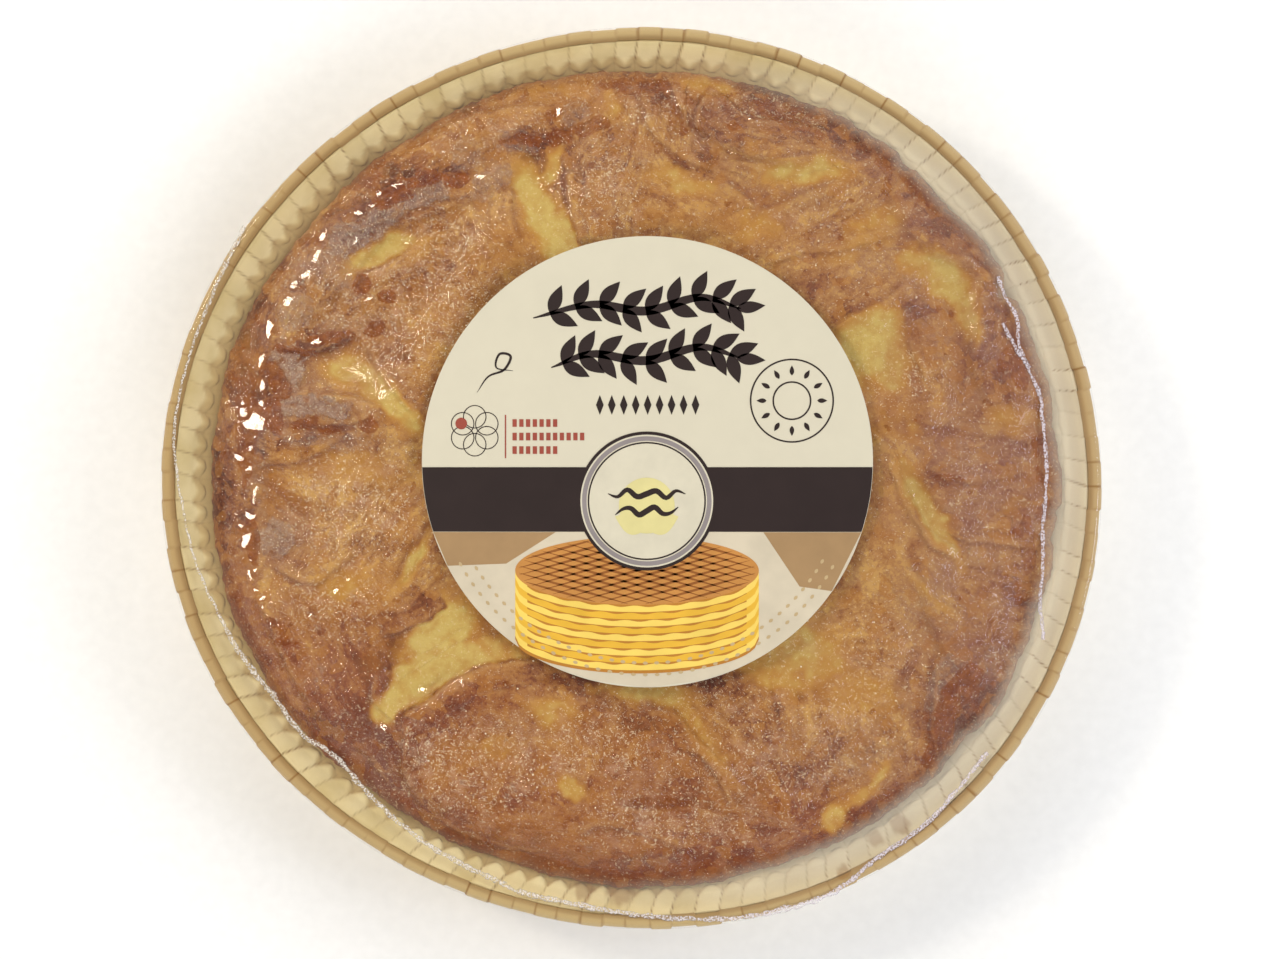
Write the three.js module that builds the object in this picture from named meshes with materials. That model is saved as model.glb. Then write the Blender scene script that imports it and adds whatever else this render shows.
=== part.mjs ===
// A kouign amann, the flat buttery Breton cake of folded dough, in its pleated paper baking case.
// Clear film is shrunk over the cake and the case, and a round paper label lies on the film.
// Millimetres, +Z up. The origin is under the middle of the rim, at the case's flat base, and the
// case's oval is longest near the X axis. Every piece but the label is one closed skin drawn
// through rings of points round the cake.
import * as THREE from "three";

// The case: its rolled rim, flared collar, pleated wall and flat base
const rimRadius = 103; // outside of the rolled rim, as a mean over its oval
const rimHeight = 30;
const beadRadius = 1.45; // the roll of paper along the rim
const collarTopInset = 3.4; // from the outside of the rim to the groove beside the roll
const collarFootInset = 7.1;
const collarFootHeight = 21.5;
const baseInset = 14.4; // from the outside of the rim to the foot of the wall
const paper = 0.8; // two to three leaves of pleated paper
const pleatCount = 120;
const pleatDepth = 0.9; // on the wall, either side of its middle
const squeeze = 2.25; // the film draws the case into an oval,
const squeezeTurn = THREE.MathUtils.degToRad(-4.3);
const bulge = 0.86; // and slightly three-cornered
const bulgeTurn = THREE.MathUtils.degToRad(-52.5);
const footShift = 3; // the foot stands this far towards +X of the rim, so the wall leans more at -X

// The cake
const crownHeight = 31; // middle of the top, without its folds
const crownDrop = 2.2; // from the middle to the shoulder
const shoulderRadius = 83;
const edgeRadius = 94.3; // widest, against the wall of the case
const edgeHeight = 20;
const cakeFootRadius = 86.4;
const cakeFootHeight = 1.3;
const pressedHeight = 32.2; // the taut film lets no fold stand higher
const pressing = 0.35; // how softly the film levels the folds below that height
const cakeStep = 3; // between the rings of points on its top

// Film and label
const filmThickness = 0.4;
const clearance = 0.35; // between pieces that touch
const filmStep = 6;
const drapeReach = 8; // the film bridges dips narrower than this
const filmFootHeight = 0.7;
const labelRadius = 50;
const labelThickness = 0.3;
const labelSegments = 48;
const labelCentre = new THREE.Vector2(4.2, 3.6);
const coveredRadius = 43; // the label hides the top within this, so it needs few points there
const coveredSteps = 4;
const stretch = 1.07; // points stand this much further apart along a ring than from ring to ring

// Folded sheets of dough that lie on the top: centre, half length and half width, turn of the
// long axis, height of the free edge, and the direction in which that edge faces.
const flaps = [
  { at: [-25, -62], half: [28, 17], turn: -6, lift: 2.2, faces: 130 },
  { at: [-66, 8], half: [18, 11], turn: -14, lift: 1.7, faces: 80 },
  { at: [-67, 52], half: [20, 8], turn: 52, lift: 1.5, faces: -40 },
  { at: [-42, 68], half: [22, 8], turn: 24, lift: 1.4, faces: -75 },
  { at: [3, 63], half: [13, 24], turn: 8, lift: 1.7, faces: 180 },
  { at: [34, 78], half: [20, 8], turn: -12, lift: 1.6, faces: 200 },
  { at: [70, 60], half: [15, 9], turn: -46, lift: 1.4, faces: 240 },
  { at: [84, 29], half: [18, 8], turn: 100, lift: 1.5, faces: 180 },
  { at: [80, -3], half: [17, 14], turn: 80, lift: 1.3, faces: 200 },
  { at: [76, -33], half: [17, 8], turn: -60, lift: 1.3, faces: 215 },
  { at: [61, -66], half: [16, 7], turn: 42, lift: 1.5, faces: -50 },
  { at: [42, -64], half: [24, 15], turn: -14, lift: 1.3, faces: 155 },
  { at: [-68, -42], half: [15, 13], turn: -50, lift: 1.5, faces: 15 },
  { at: [-66, -12], half: [18, 8], turn: -30, lift: 1.2, faces: 60 },
];

// Hollows where paler dough shows between the folds: centre, half sizes, turn and depth.
const hollows = [
  { at: [-19, 60], half: [12, 6], turn: 115, depth: 1.5 },
  { at: [-55, 51], half: [11, 3.6], turn: 24, depth: 1.3 },
  { at: [-61, 24], half: [11, 5.5], turn: -25, depth: 1.5 },
  { at: [-45, -42], half: [14, 8], turn: 42, depth: 1.6 },
  { at: [55, 28], half: [11, 9], turn: 40, depth: 1.4 },
  { at: [71, 43], half: [10, 6], turn: -50, depth: 1.2 },
  { at: [38, 68], half: [11, 3.6], turn: 8, depth: 1.1 },
  { at: [11, 66], half: [8, 4], turn: -20, depth: 0.8 },
  { at: [67, -8], half: [14, 3.4], turn: -54, depth: 1.4 },
  { at: [-48, -18], half: [9, 3], turn: 60, depth: 1.1 },
  { at: [42, -40], half: [14, 9], turn: -10, depth: 0.8 },
  { at: [14, -52], half: [16, 5], turn: -35, depth: 1.0 },
  { at: [-13, -69], half: [6, 3], turn: -45, depth: 1.0 },
];

// Low waves of the dough: height, wavelength, direction and phase.
const swells = [
  { height: 0.5, length: 47, heading: 20, phase: 0.4 },
  { height: 0.45, length: 31, heading: 105, phase: 2.1 },
  { height: 0.35, length: 22, heading: 62, phase: 4.0 },
  { height: 0.3, length: 17, heading: 150, phase: 1.2 },
];

// How far the cake's edge runs in and out round its rim: depth, count and phase of each ripple.
const edgeRipples = [
  { depth: 0.45, count: 7, phase: 0.6 },
  { depth: 0.4, count: 13, phase: 2.4 },
  { depth: 0.3, count: 31, phase: 1.1 },
];

const smooth = THREE.MathUtils.smoothstep;

function oval(angle) {
  return (
    squeeze * Math.cos(2 * (angle - squeezeTurn)) +
    bulge * Math.cos(3 * (angle - bulgeTurn))
  );
}

// The oval's own middle lies a little off the origin, so that the case's outline is centred on it.
function middleOfOval() {
  const outline = new THREE.Box2();
  for (let i = 0; i < 720; i++) {
    const angle = (i / 720) * 2 * Math.PI;
    const reach = rimRadius + oval(angle);
    outline.expandByPoint(
      new THREE.Vector2(reach * Math.cos(angle), reach * Math.sin(angle)),
    );
  }
  return outline.getCenter(new THREE.Vector2()).negate();
}
const middle = middleOfOval();

// A point on the oval of a given mean radius, at a given height. The case leans up to its roll.
function pointAt(angle, radius, height) {
  const reach = radius + oval(angle) * Math.min(1, radius / rimRadius);
  const lean = footShift * Math.max(0, 1 - height / (rimHeight - 2 * beadRadius));
  return new THREE.Vector3(
    middle.x + lean + reach * Math.cos(angle),
    middle.y + reach * Math.sin(angle),
    height,
  );
}

// Position of (x, y) in an ellipse: its share of the way from the centre to the edge, and the
// direction from the centre.
function withinEllipse({ at, half, turn }, x, y) {
  const t = THREE.MathUtils.degToRad(turn);
  const dx = x - at[0];
  const dy = y - at[1];
  const along = dx * Math.cos(t) + dy * Math.sin(t);
  const across = dy * Math.cos(t) - dx * Math.sin(t);
  return {
    share: Math.hypot(along / half[0], across / half[1]),
    direction: Math.atan2(dy, dx),
  };
}

// A flap rises sharply at its free edge and sinks back into the dough behind it.
function flapHeight(flap, x, y) {
  const { share, direction } = withinEllipse(flap, x, y);
  const edge = 1 - smooth(share, 0.9, 1.12);
  const facing = Math.cos(direction - THREE.MathUtils.degToRad(flap.faces));
  const free = smooth(facing, -0.6, 0.7);
  return flap.lift * edge * (0.25 + 0.75 * free * smooth(share, 0, 0.9));
}

function hollowDepth(hollow, x, y) {
  const { share } = withinEllipse(hollow, x, y);
  return hollow.depth * (1 - smooth(share, 0.45, 1.15));
}

function swellHeight(x, y) {
  return swells.reduce((sum, { height, length, heading, phase }) => {
    const t = THREE.MathUtils.degToRad(heading);
    const way = x * Math.cos(t) + y * Math.sin(t);
    return sum + height * Math.sin((2 * Math.PI * way) / length + phase);
  }, 0);
}

// Height of the cake's top within its shoulder.
function cakeTop(x, y) {
  const r = Math.hypot(x - middle.x, y - middle.y);
  const crown = crownHeight - crownDrop * (r / shoulderRadius) ** 2;
  const relief =
    swellHeight(x, y) +
    Math.max(...flaps.map((flap) => flapHeight(flap, x, y))) -
    Math.max(...hollows.map((hollow) => hollowDepth(hollow, x, y)));
  const room = (pressedHeight - crown - relief) / pressing;
  return pressedHeight - pressing * Math.log1p(Math.exp(room));
}

function ring(count, place) {
  return Array.from({ length: count }, (_, i) => place((i / count) * 2 * Math.PI, i));
}

// Rings of points over a top out to a radius, about as far apart along each ring as from the next,
// and coarser where the label covers them.
function topRings(lastRadius, step, heightAt) {
  const fineSteps = Math.round((lastRadius - coveredRadius) / step);
  const fine = (lastRadius - coveredRadius) / fineSteps;
  const coarse = coveredRadius / coveredSteps;
  const radii = [
    ...Array.from({ length: coveredSteps }, (_, i) => [coarse * (i + 1), coarse]),
    ...Array.from({ length: fineSteps }, (_, i) => [coveredRadius + fine * (i + 1), fine]),
  ];
  const rings = radii.map(([radius, spacing]) =>
    ring(Math.round((2 * Math.PI * radius) / (spacing * stretch)), (angle) => {
      const p = pointAt(angle, radius, rimHeight);
      return p.setZ(heightAt(p.x, p.y));
    }),
  );
  const centre = pointAt(0, 0, rimHeight);
  centre.setZ(heightAt(centre.x, centre.y));
  return [[centre], ...rings];
}

// Joins each ring to the next, whatever their counts, into one closed geometry. The rings run from
// a single point, out over the upward faces, and in under the downward faces to a last point.
function skinThrough(rings) {
  const positions = [];
  const starts = [];
  for (const points of rings) {
    starts.push(positions.length / 3);
    for (const p of points) positions.push(p.x, p.y, p.z);
  }
  const faces = [];
  for (let k = 0; k + 1 < rings.length; k++) {
    const inner = rings[k].length;
    const outer = rings[k + 1].length;
    const a = (i) => starts[k] + (i % inner);
    const b = (j) => starts[k + 1] + (j % outer);
    let i = 0;
    let j = 0;
    while (i < inner || j < outer) {
      const stepOuter = j < outer && (i >= inner || (j + 0.5) / outer <= (i + 0.5) / inner);
      if (stepOuter) {
        if (outer > 1) faces.push(a(i), b(j), b(j + 1));
        j++;
      } else {
        if (inner > 1) faces.push(a(i), b(j), a(i + 1));
        i++;
      }
    }
  }
  const geometry = new THREE.BufferGeometry();
  geometry.setAttribute("position", new THREE.Float32BufferAttribute(positions, 3));
  geometry.setIndex(faces);
  geometry.computeVertexNormals();
  return geometry;
}

function makeCake() {
  const rings = topRings(shoulderRadius, cakeStep, cakeTop);
  // The rounded shoulder falls from the last of the top's rings to the edge against the case.
  const edgeShift = (angle) =>
    edgeRipples.reduce((sum, w) => sum + w.depth * Math.sin(w.count * angle + w.phase), 0);
  const last = rings[rings.length - 1];
  for (const share of [0.3, 0.6, 0.85, 1]) {
    const fall = (share * Math.PI) / 2;
    rings.push(
      ring(last.length, (angle, i) => {
        const reach = (edgeRadius - shoulderRadius) * Math.sin(fall);
        const ripple = (edgeShift(angle) - 0.8) * share;
        const height = edgeHeight + (last[i].z - edgeHeight) * Math.cos(fall);
        return pointAt(angle, shoulderRadius + reach + ripple, height);
      }),
    );
  }
  rings.push(ring(last.length, (angle) => pointAt(angle, cakeFootRadius, cakeFootHeight)));
  rings.push([pointAt(0, 0, cakeFootHeight)]);
  return skinThrough(rings);
}

// The case's section, from the middle of its floor over the rim to the middle of its underside:
// distance in from the outside of the rim, height, and how deep the pleats are there, if any.
function caseSection() {
  const beadMiddle = rimHeight - beadRadius;
  const floorInset = baseInset + 1.2;
  return [
    { inset: floorInset, height: paper, pleat: 0.3 },
    { inset: baseInset, height: 2.2, pleat: pleatDepth },
    { inset: collarFootInset, height: collarFootHeight, pleat: pleatDepth * 0.6 },
    { inset: collarTopInset, height: beadMiddle - 0.3 },
    { inset: 2 * beadRadius - 0.2, height: beadMiddle + 0.8 },
    { inset: beadRadius, height: rimHeight },
    { inset: 0, height: beadMiddle },
    { inset: beadRadius, height: beadMiddle - beadRadius },
    { inset: collarTopInset - paper, height: beadMiddle - 1.3 },
    { inset: collarFootInset - paper, height: collarFootHeight - 0.4, pleat: pleatDepth * 0.6 },
    { inset: baseInset - paper, height: 1.4, pleat: pleatDepth },
    { inset: baseInset + 0.4, height: 0, pleat: 0.5 },
  ];
}

function makeCase() {
  const section = caseSection();
  const rings = section.map(({ inset, height, pleat = 0 }) =>
    ring(pleat ? 2 * pleatCount : pleatCount, (angle, i) => {
      const fold = i % 2 ? -pleat : pleat;
      return pointAt(angle, rimRadius - inset + fold, height);
    }),
  );
  return skinThrough([[pointAt(0, 0, paper)], ...rings, [pointAt(0, 0, 0)]]);
}

// The film rests on the highest dough within reach, and runs flat under the label.
function filmUnderside(x, y) {
  let highest = cakeTop(x, y);
  for (const share of [0.33, 0.67, 1]) {
    const reach = drapeReach * share;
    for (const angle of ring(16, (turn) => turn)) {
      const here = cakeTop(x + reach * Math.cos(angle), y + reach * Math.sin(angle));
      highest = Math.max(highest, here);
    }
  }
  const fromLabel = Math.hypot(x - labelCentre.x, y - labelCentre.y);
  const away = smooth(fromLabel, labelRadius + 6, labelRadius + 20);
  return THREE.MathUtils.lerp(pressedHeight, highest, away) + clearance;
}

// One face of the film: over the cake, across to the rim, over the roll and down to the foot.
function filmFace(out) {
  const beadMiddle = rimHeight - beadRadius;
  const rings = topRings(shoulderRadius + 2, filmStep, (x, y) => filmUnderside(x, y) + out);
  const around = rings[rings.length - 1].length;
  const round = [
    { radius: rimRadius - 1.7 * beadRadius, height: rimHeight + clearance + out },
    { radius: rimRadius - 0.6 * beadRadius, height: rimHeight + clearance + out },
    { radius: rimRadius + clearance + out, height: beadMiddle + 0.5 },
    { radius: rimRadius + clearance + out, height: beadMiddle - 1.2 },
    { radius: rimRadius - baseInset + paper + pleatDepth + 0.6 + out, height: filmFootHeight },
  ];
  for (const { radius, height } of round) {
    rings.push(ring(around, (angle) => pointAt(angle, radius, height)));
  }
  return rings;
}

function makeFilm() {
  return skinThrough([...filmFace(filmThickness), ...filmFace(0).reverse()]);
}

function makeLabel() {
  const disc = new THREE.CylinderGeometry(labelRadius, labelRadius, labelThickness, labelSegments);
  return disc.rotateX(Math.PI / 2);
}

function part(name, geometry, colour, roughness, extra = {}) {
  const material = new THREE.MeshStandardMaterial({ color: colour, roughness, metalness: 0, ...extra });
  const mesh = new THREE.Mesh(geometry, material);
  mesh.name = name;
  return mesh;
}

const cake = part("cake", makeCake(), "#b27a46", 0.35);
const paperCase = part("paper_case", makeCase(), "#cdb47c", 0.8);
const film = part("film", makeFilm(), "#f4f4f0", 0.1, { transparent: true, opacity: 0.25 });
const label = part("label", makeLabel(), "#e1dac3", 0.6);
const labelRest = pressedHeight + clearance + filmThickness + clearance;
label.position.set(labelCentre.x, labelCentre.y, labelRest + labelThickness / 2);

const kouignAmann = new THREE.Group();
kouignAmann.add(cake, paperCase, film, label);

export default kouignAmann;
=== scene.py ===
import math
from functools import partial

import bmesh
import bpy
import numpy as np
from mathutils import Matrix, Vector


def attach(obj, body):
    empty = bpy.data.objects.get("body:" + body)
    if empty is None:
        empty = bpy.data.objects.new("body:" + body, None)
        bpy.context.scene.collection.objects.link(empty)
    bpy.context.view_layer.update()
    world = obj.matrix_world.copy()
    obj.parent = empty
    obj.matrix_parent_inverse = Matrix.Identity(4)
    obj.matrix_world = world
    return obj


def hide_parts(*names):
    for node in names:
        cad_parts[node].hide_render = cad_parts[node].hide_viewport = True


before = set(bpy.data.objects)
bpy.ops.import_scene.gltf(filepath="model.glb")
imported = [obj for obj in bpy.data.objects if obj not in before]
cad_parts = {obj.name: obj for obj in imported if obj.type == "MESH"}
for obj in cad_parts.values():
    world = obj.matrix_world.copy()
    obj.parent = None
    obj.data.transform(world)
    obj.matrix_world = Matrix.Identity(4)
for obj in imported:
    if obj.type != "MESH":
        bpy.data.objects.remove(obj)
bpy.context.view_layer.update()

# A kouign amann in its pleated paper case, under clear shrink film with a round paper label.
# Sizes are in millimetres up to the moment a mesh is written, and x, y, z are as in the frame.
mm = 0.001

# What every piece is measured from
casing = {
    "rimRadius": 103.0,  # outside of the rolled rim
    "rimHeight": 30.0,
    "rollRadius": 1.45,
    "squeeze": 2.25,  # the oval the film draws the case into
    "squeezeTurn": -4.3,
    "bulge": 0.86,  # and its slight third corner
    "bulgeTurn": -52.5,
    "footShift": 3.0,  # the wall leans, so its foot stands off centre
}
topping = {
    "crownHeight": 31.0, "crownDrop": 2.2, "shoulderRadius": 83.0, "edgeRadius": 94.3, "edgeHeight": 22.0,
    "footRadius": 86.4, "footHeight": 1.3, "pressedHeight": 32.2, "pressing": 0.35,
}
labelPlace = {"x": 4.2, "y": 3.6, "radius": 50.0}
studio = {
    "cameraAt": (13.0, -0.3, 460.0),
    "aim": (2.4, -0.33, 30.0),
    "lens": 54.27,
    "lampTurn": 152.0,  # degrees from the right, seen from above
    "lampRise": 48.0,
    "lampDistance": 700.0,
    "lampSize": 100.0,
    "lampPower": 0.95,
    "floor": ("#f4f3f1", "#faf9f7"),
}


def toLinear(hexColour, alpha=1.0):
    channels = [int(hexColour[i : i + 2], 16) / 255 for i in (1, 3, 5)]
    linear = [c / 12.92 if c <= 0.04045 else ((c + 0.055) / 1.055) ** 2.4 for c in channels]
    return (*linear, alpha)


def addNode(tree, kind, links=(), mode=None, stops=(), **settings):
    # kind is Blender's name without its first words. links gives each input, by name or in order, a
    # value, another node's output, or a node whose first output is meant. mode is the sum it works
    # out or the data it works on, and stops are the places and colours of a ramp.
    starts = ("ShaderNode", "GeometryNode", "FunctionNode", "Node")
    node = tree.nodes.new(next(start + kind for start in starts if hasattr(bpy.types, start + kind)))
    if mode:
        name = next(n for n in ("operation", "interpolation_type", "data_type") if hasattr(node, n))
        settings = {name: mode, **settings}
    for key, value in settings.items():
        setattr(node, key, value)
    for key, value in links.items() if isinstance(links, dict) else enumerate(links):
        if isinstance(value, bpy.types.Node):
            value = next(socket for socket in value.outputs if socket.enabled)
        if isinstance(value, bpy.types.NodeSocket):
            tree.links.new(value, node.inputs[key])
        else:
            node.inputs[key].default_value = value
    for number, (place, colour) in enumerate(stops):
        if number >= len(node.color_ramp.elements):
            node.color_ramp.elements.new(place)
        node.color_ramp.elements[number].position = place
        node.color_ramp.elements[number].color = colour
    return node


def cosineAndSine(degrees):
    return math.cos(math.radians(degrees)), math.sin(math.radians(degrees))


def towardsLamp():
    (right, back), (level, up) = cosineAndSine(studio["lampTurn"]), cosineAndSine(studio["lampRise"])
    return level * right, level * back, up


def smoothstep(low, high, value):
    t = np.clip((value - low) / (high - low), 0, 1)
    return t * t * (3 - 2 * t)


def noise(x, y, size, seed):
    # gradient noise about -1 to 1, with lumps of the given size
    u, v = x / size, y / size
    iu, iv = np.floor(u).astype(np.int64), np.floor(v).astype(np.int64)
    fu, fv = u - iu, v - iv
    firstU, firstV = iu.min(), iv.min()
    across = iu.max() - firstU + 2
    latticeU, latticeV = np.meshgrid(np.arange(across) + firstU, np.arange(firstV, iv.max() + 2))
    n = (latticeU * 374761393 + latticeV * 668265263 + seed * 974634777) & 0xFFFFFFFF
    n = ((n ^ (n >> 13)) * 1274126177) & 0xFFFFFFFF
    turn = ((n ^ (n >> 16)) & 0xFFFF) * (2 * np.pi / 65536)
    slopeU, slopeV = np.cos(turn).ravel(), np.sin(turn).ravel()
    here = (iv - firstV) * across + iu - firstU

    def corner(du, dv):
        at = here + du + dv * across
        return slopeU[at] * (fu - du) + slopeV[at] * (fv - dv)

    su, sv = (t * t * t * (t * (t * 6 - 15) + 10) for t in (fu, fv))
    low = corner(0, 0) * (1 - su) + corner(1, 0) * su
    high = corner(0, 1) * (1 - su) + corner(1, 1) * su
    return 1.5 * (low * (1 - sv) + high * sv)


def roughNoise(x, y, size, seed, layers=4):
    total = sum(noise(x, y, size / 2**k, seed + 17 * k) / 2**k for k in range(layers))
    return total / 1.6


def oval(angle):
    squeezeTurn = math.radians(casing["squeezeTurn"])
    bulgeTurn = math.radians(casing["bulgeTurn"])
    return casing["squeeze"] * np.cos(2 * (angle - squeezeTurn)) + casing["bulge"] * np.cos(
        3 * (angle - bulgeTurn)
    )


def middleOfOval():
    angle = np.linspace(0, 2 * np.pi, 721)[:-1]
    reach = casing["rimRadius"] + oval(angle)
    x, y = reach * np.cos(angle), reach * np.sin(angle)
    return -(x.max() + x.min()) / 2, -(y.max() + y.min()) / 2


middleX, middleY = middleOfOval()


def onOval(angle, radius, height):
    # a point of the oval of that mean radius, on the leaning case
    reach = radius + oval(angle) * np.minimum(1, radius / casing["rimRadius"])
    top = casing["rimHeight"] - 2 * casing["rollRadius"]
    lean = casing["footShift"] * np.maximum(0, 1 - height / top)
    return middleX + lean + reach * np.cos(angle), middleY + reach * np.sin(angle)


def ringAt(angle, radius, height):
    x, y = onOval(angle, radius, height)
    return np.stack([x, y, np.full_like(x, height)], 1)


def makeMesh(name, points, faces, materials, smooth=True):
    # points are in millimetres, and each face may have any number of corners
    mesh = bpy.data.meshes.new(name)
    if isinstance(faces, np.ndarray):
        corners = faces.shape[1]
        mesh.vertices.add(len(points))
        mesh.vertices.foreach_set("co", (np.asarray(points) * mm).astype(np.float32).ravel())
        mesh.loops.add(faces.size)
        mesh.loops.foreach_set("vertex_index", faces.astype(np.int32).ravel())
        mesh.polygons.add(len(faces))
        mesh.polygons.foreach_set("loop_start", np.arange(0, faces.size, corners, dtype=np.int32))
        mesh.update(calc_edges=True)
    else:
        mesh.from_pydata((np.asarray(points) * mm).tolist(), [], faces)
    mesh.validate()
    mesh.polygons.foreach_set("use_smooth", np.full(len(mesh.polygons), smooth))
    piece = bpy.data.objects.new(name, mesh)
    bpy.context.scene.collection.objects.link(piece)
    for material in materials:
        mesh.materials.append(material)
    return piece


def skinOfRings(rings):
    # rings is rows by columns by xyz, the first and last row each at one point or left open
    rows, around = rings.shape[:2]
    points = rings.reshape(-1, 3)
    j = np.arange(around)
    nextJ = (j + 1) % around
    quads = [
        np.stack([k * around + j, (k + 1) * around + j, (k + 1) * around + nextJ, k * around + nextJ], 1)
        for k in range(rows - 1)
    ]
    return points, np.concatenate(quads)


def setField(piece, name, values):
    attribute = piece.data.attributes.new(name, "FLOAT", "POINT")
    attribute.data.foreach_set("value", np.asarray(values, np.float32))


def weldAndShade(piece):
    work = bmesh.new()
    work.from_mesh(piece.data)
    bmesh.ops.remove_doubles(work, verts=work.verts, dist=0.02 * mm)
    work.to_mesh(piece.data)
    work.free()
    piece.data.shade_smooth()


# The top of the cake is worked out on a fine grid, which every piece that lies on it reads.

gridStep = 0.32
gridAxis = np.arange(-106, 106 + gridStep / 2, gridStep)
gridX, gridY = np.meshgrid(gridAxis, gridAxis)
lumpy = partial(roughNoise, gridX, gridY)


def readGrid(field, x, y):
    u = np.clip((x - gridAxis[0]) / gridStep, 0, len(gridAxis) - 1.001)
    v = np.clip((y - gridAxis[0]) / gridStep, 0, len(gridAxis) - 1.001)
    i, j = u.astype(int), v.astype(int)
    fu, fv = u - i, v - j
    low = field[j, i] * (1 - fu) + field[j, i + 1] * fu
    high = field[j + 1, i] * (1 - fu) + field[j + 1, i + 1] * fu
    return low * (1 - fv) + high * fv


def blurGrid(field, radius):
    frequency = np.fft.fftfreq(len(gridAxis), gridStep)
    fx, fy = np.meshgrid(frequency, frequency)
    soft = np.exp(-2 * (np.pi * radius) ** 2 * (fx**2 + fy**2))
    return np.fft.ifft2(np.fft.fft2(field) * soft).real


def withinEllipse(spot, warp=0.0):
    # spot is x, y, half length, half width, turn: 0 at its centre, 1 on its edge
    x, y, along, across, turn = spot[:5]
    c, s = cosineAndSine(turn)
    dx, dy = gridX + warp * warpX - x, gridY + warp * warpY - y
    return np.hypot((dx * c + dy * s) / along, (dy * c - dx * s) / across)


def curveThrough(points, count=40):
    # a smooth line through the points
    points = np.array(points, float)
    ends = np.vstack([2 * points[0] - points[1], points, 2 * points[-1] - points[-2]])
    route = []
    steps = max(2, count // (len(points) - 1))
    for a, b, c, d in zip(ends, ends[1:], ends[2:], ends[3:]):
        for t in np.linspace(0, 1, steps + 1)[:-1]:
            bend = (2 * a - 5 * b + 4 * c - d) * t**2 + (3 * b - a - 3 * c + d) * t**3
            route.append(0.5 * (2 * b + (c - a) * t + bend))
    return np.vstack([route, points[-1]])


def alongPath(points, reach):
    # for the grid near a smoothed path: how far to its left, how far along from 0 to 1, and
    # where that is in the grid
    route = curveThrough(points, 5 * (len(points) - 1))
    low, high = route.min(0) - reach, route.max(0) + reach
    columns = slice(*np.clip(np.searchsorted(gridAxis, [low[0], high[0]]), 0, len(gridAxis)))
    rows = slice(*np.clip(np.searchsorted(gridAxis, [low[1], high[1]]), 0, len(gridAxis)))
    px, py = (
        gridX[rows, columns] + 0.8 * warpX[rows, columns],
        gridY[rows, columns] + 0.8 * warpY[rows, columns],
    )
    nearest = np.full(px.shape, 1e9)
    side, share = np.zeros(px.shape), np.zeros(px.shape)
    lengths = np.hypot(*(route[1:] - route[:-1]).T)
    walked = np.concatenate([[0], np.cumsum(lengths)])
    for k, (a, b) in enumerate(zip(route, route[1:])):
        ex, ey = (b - a) / lengths[k]
        t = np.clip((px - a[0]) * ex + (py - a[1]) * ey, 0, lengths[k])
        away = np.hypot(px - a[0] - t * ex, py - a[1] - t * ey)
        left = (py - a[1]) * ex - (px - a[0]) * ey
        closer = away < nearest
        nearest = np.where(closer, away, nearest)
        side = np.where(closer, np.where(left >= 0, away, -away), side)
        share = np.where(closer, (walked[k] + t) / walked[-1], share)
    return side, share, (rows, columns)


warpX = lumpy(7, 301)
warpY = lumpy(7, 302)

# Folded sheets of dough: centre, half length, half width, turn, height of the free edge and the
# way that edge faces. The first numbers of a hollow are the same, then its depth.
flaps = [
    (-25, -62, 28, 17, -6, 2.2, 130), (-66, 8, 18, 11, -14, 1.7, 80), (-67, 52, 20, 8, 52, 1.5, -40),
    (-42, 68, 22, 8, 24, 1.4, -75), (3, 63, 13, 24, 8, 1.7, 180), (34, 78, 20, 8, -12, 1.6, 200),
    (70, 60, 15, 9, -46, 1.4, 240), (84, 29, 18, 8, 100, 1.5, 180), (80, -3, 17, 14, 80, 1.3, 200),
    (76, -33, 17, 8, -60, 1.3, 215), (61, -66, 16, 7, 42, 1.5, -50), (42, -64, 24, 15, -14, 1.3, 155),
    (-68, -42, 15, 13, -50, 1.5, 15), (-66, -12, 18, 8, -30, 1.2, 60),
]
hollows = [
    (-19, 60, 12, 6, 115, 1.5), (-55, 51, 11, 3.6, 24, 1.3), (-61, 24, 11, 5.5, -25, 1.5),
    (-45, -42, 14, 8, 42, 1.6), (55, 28, 11, 9, 40, 1.4), (71, 43, 10, 6, -50, 1.2),
    (38, 68, 11, 3.6, 8, 1.1), (11, 66, 8, 4, -20, 0.8), (67, -8, 14, 3.4, -54, 1.4),
    (-48, -18, 9, 3, 60, 1.1), (42, -40, 14, 9, -10, 0.8), (14, -52, 16, 5, -35, 1.0),
    (-13, -69, 6, 3, -45, 1.0),
]
swells = [(0.5, 47, 20, 0.4), (0.45, 31, 105, 2.1), (0.35, 22, 62, 4.0), (0.3, 17, 150, 1.2)]

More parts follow.
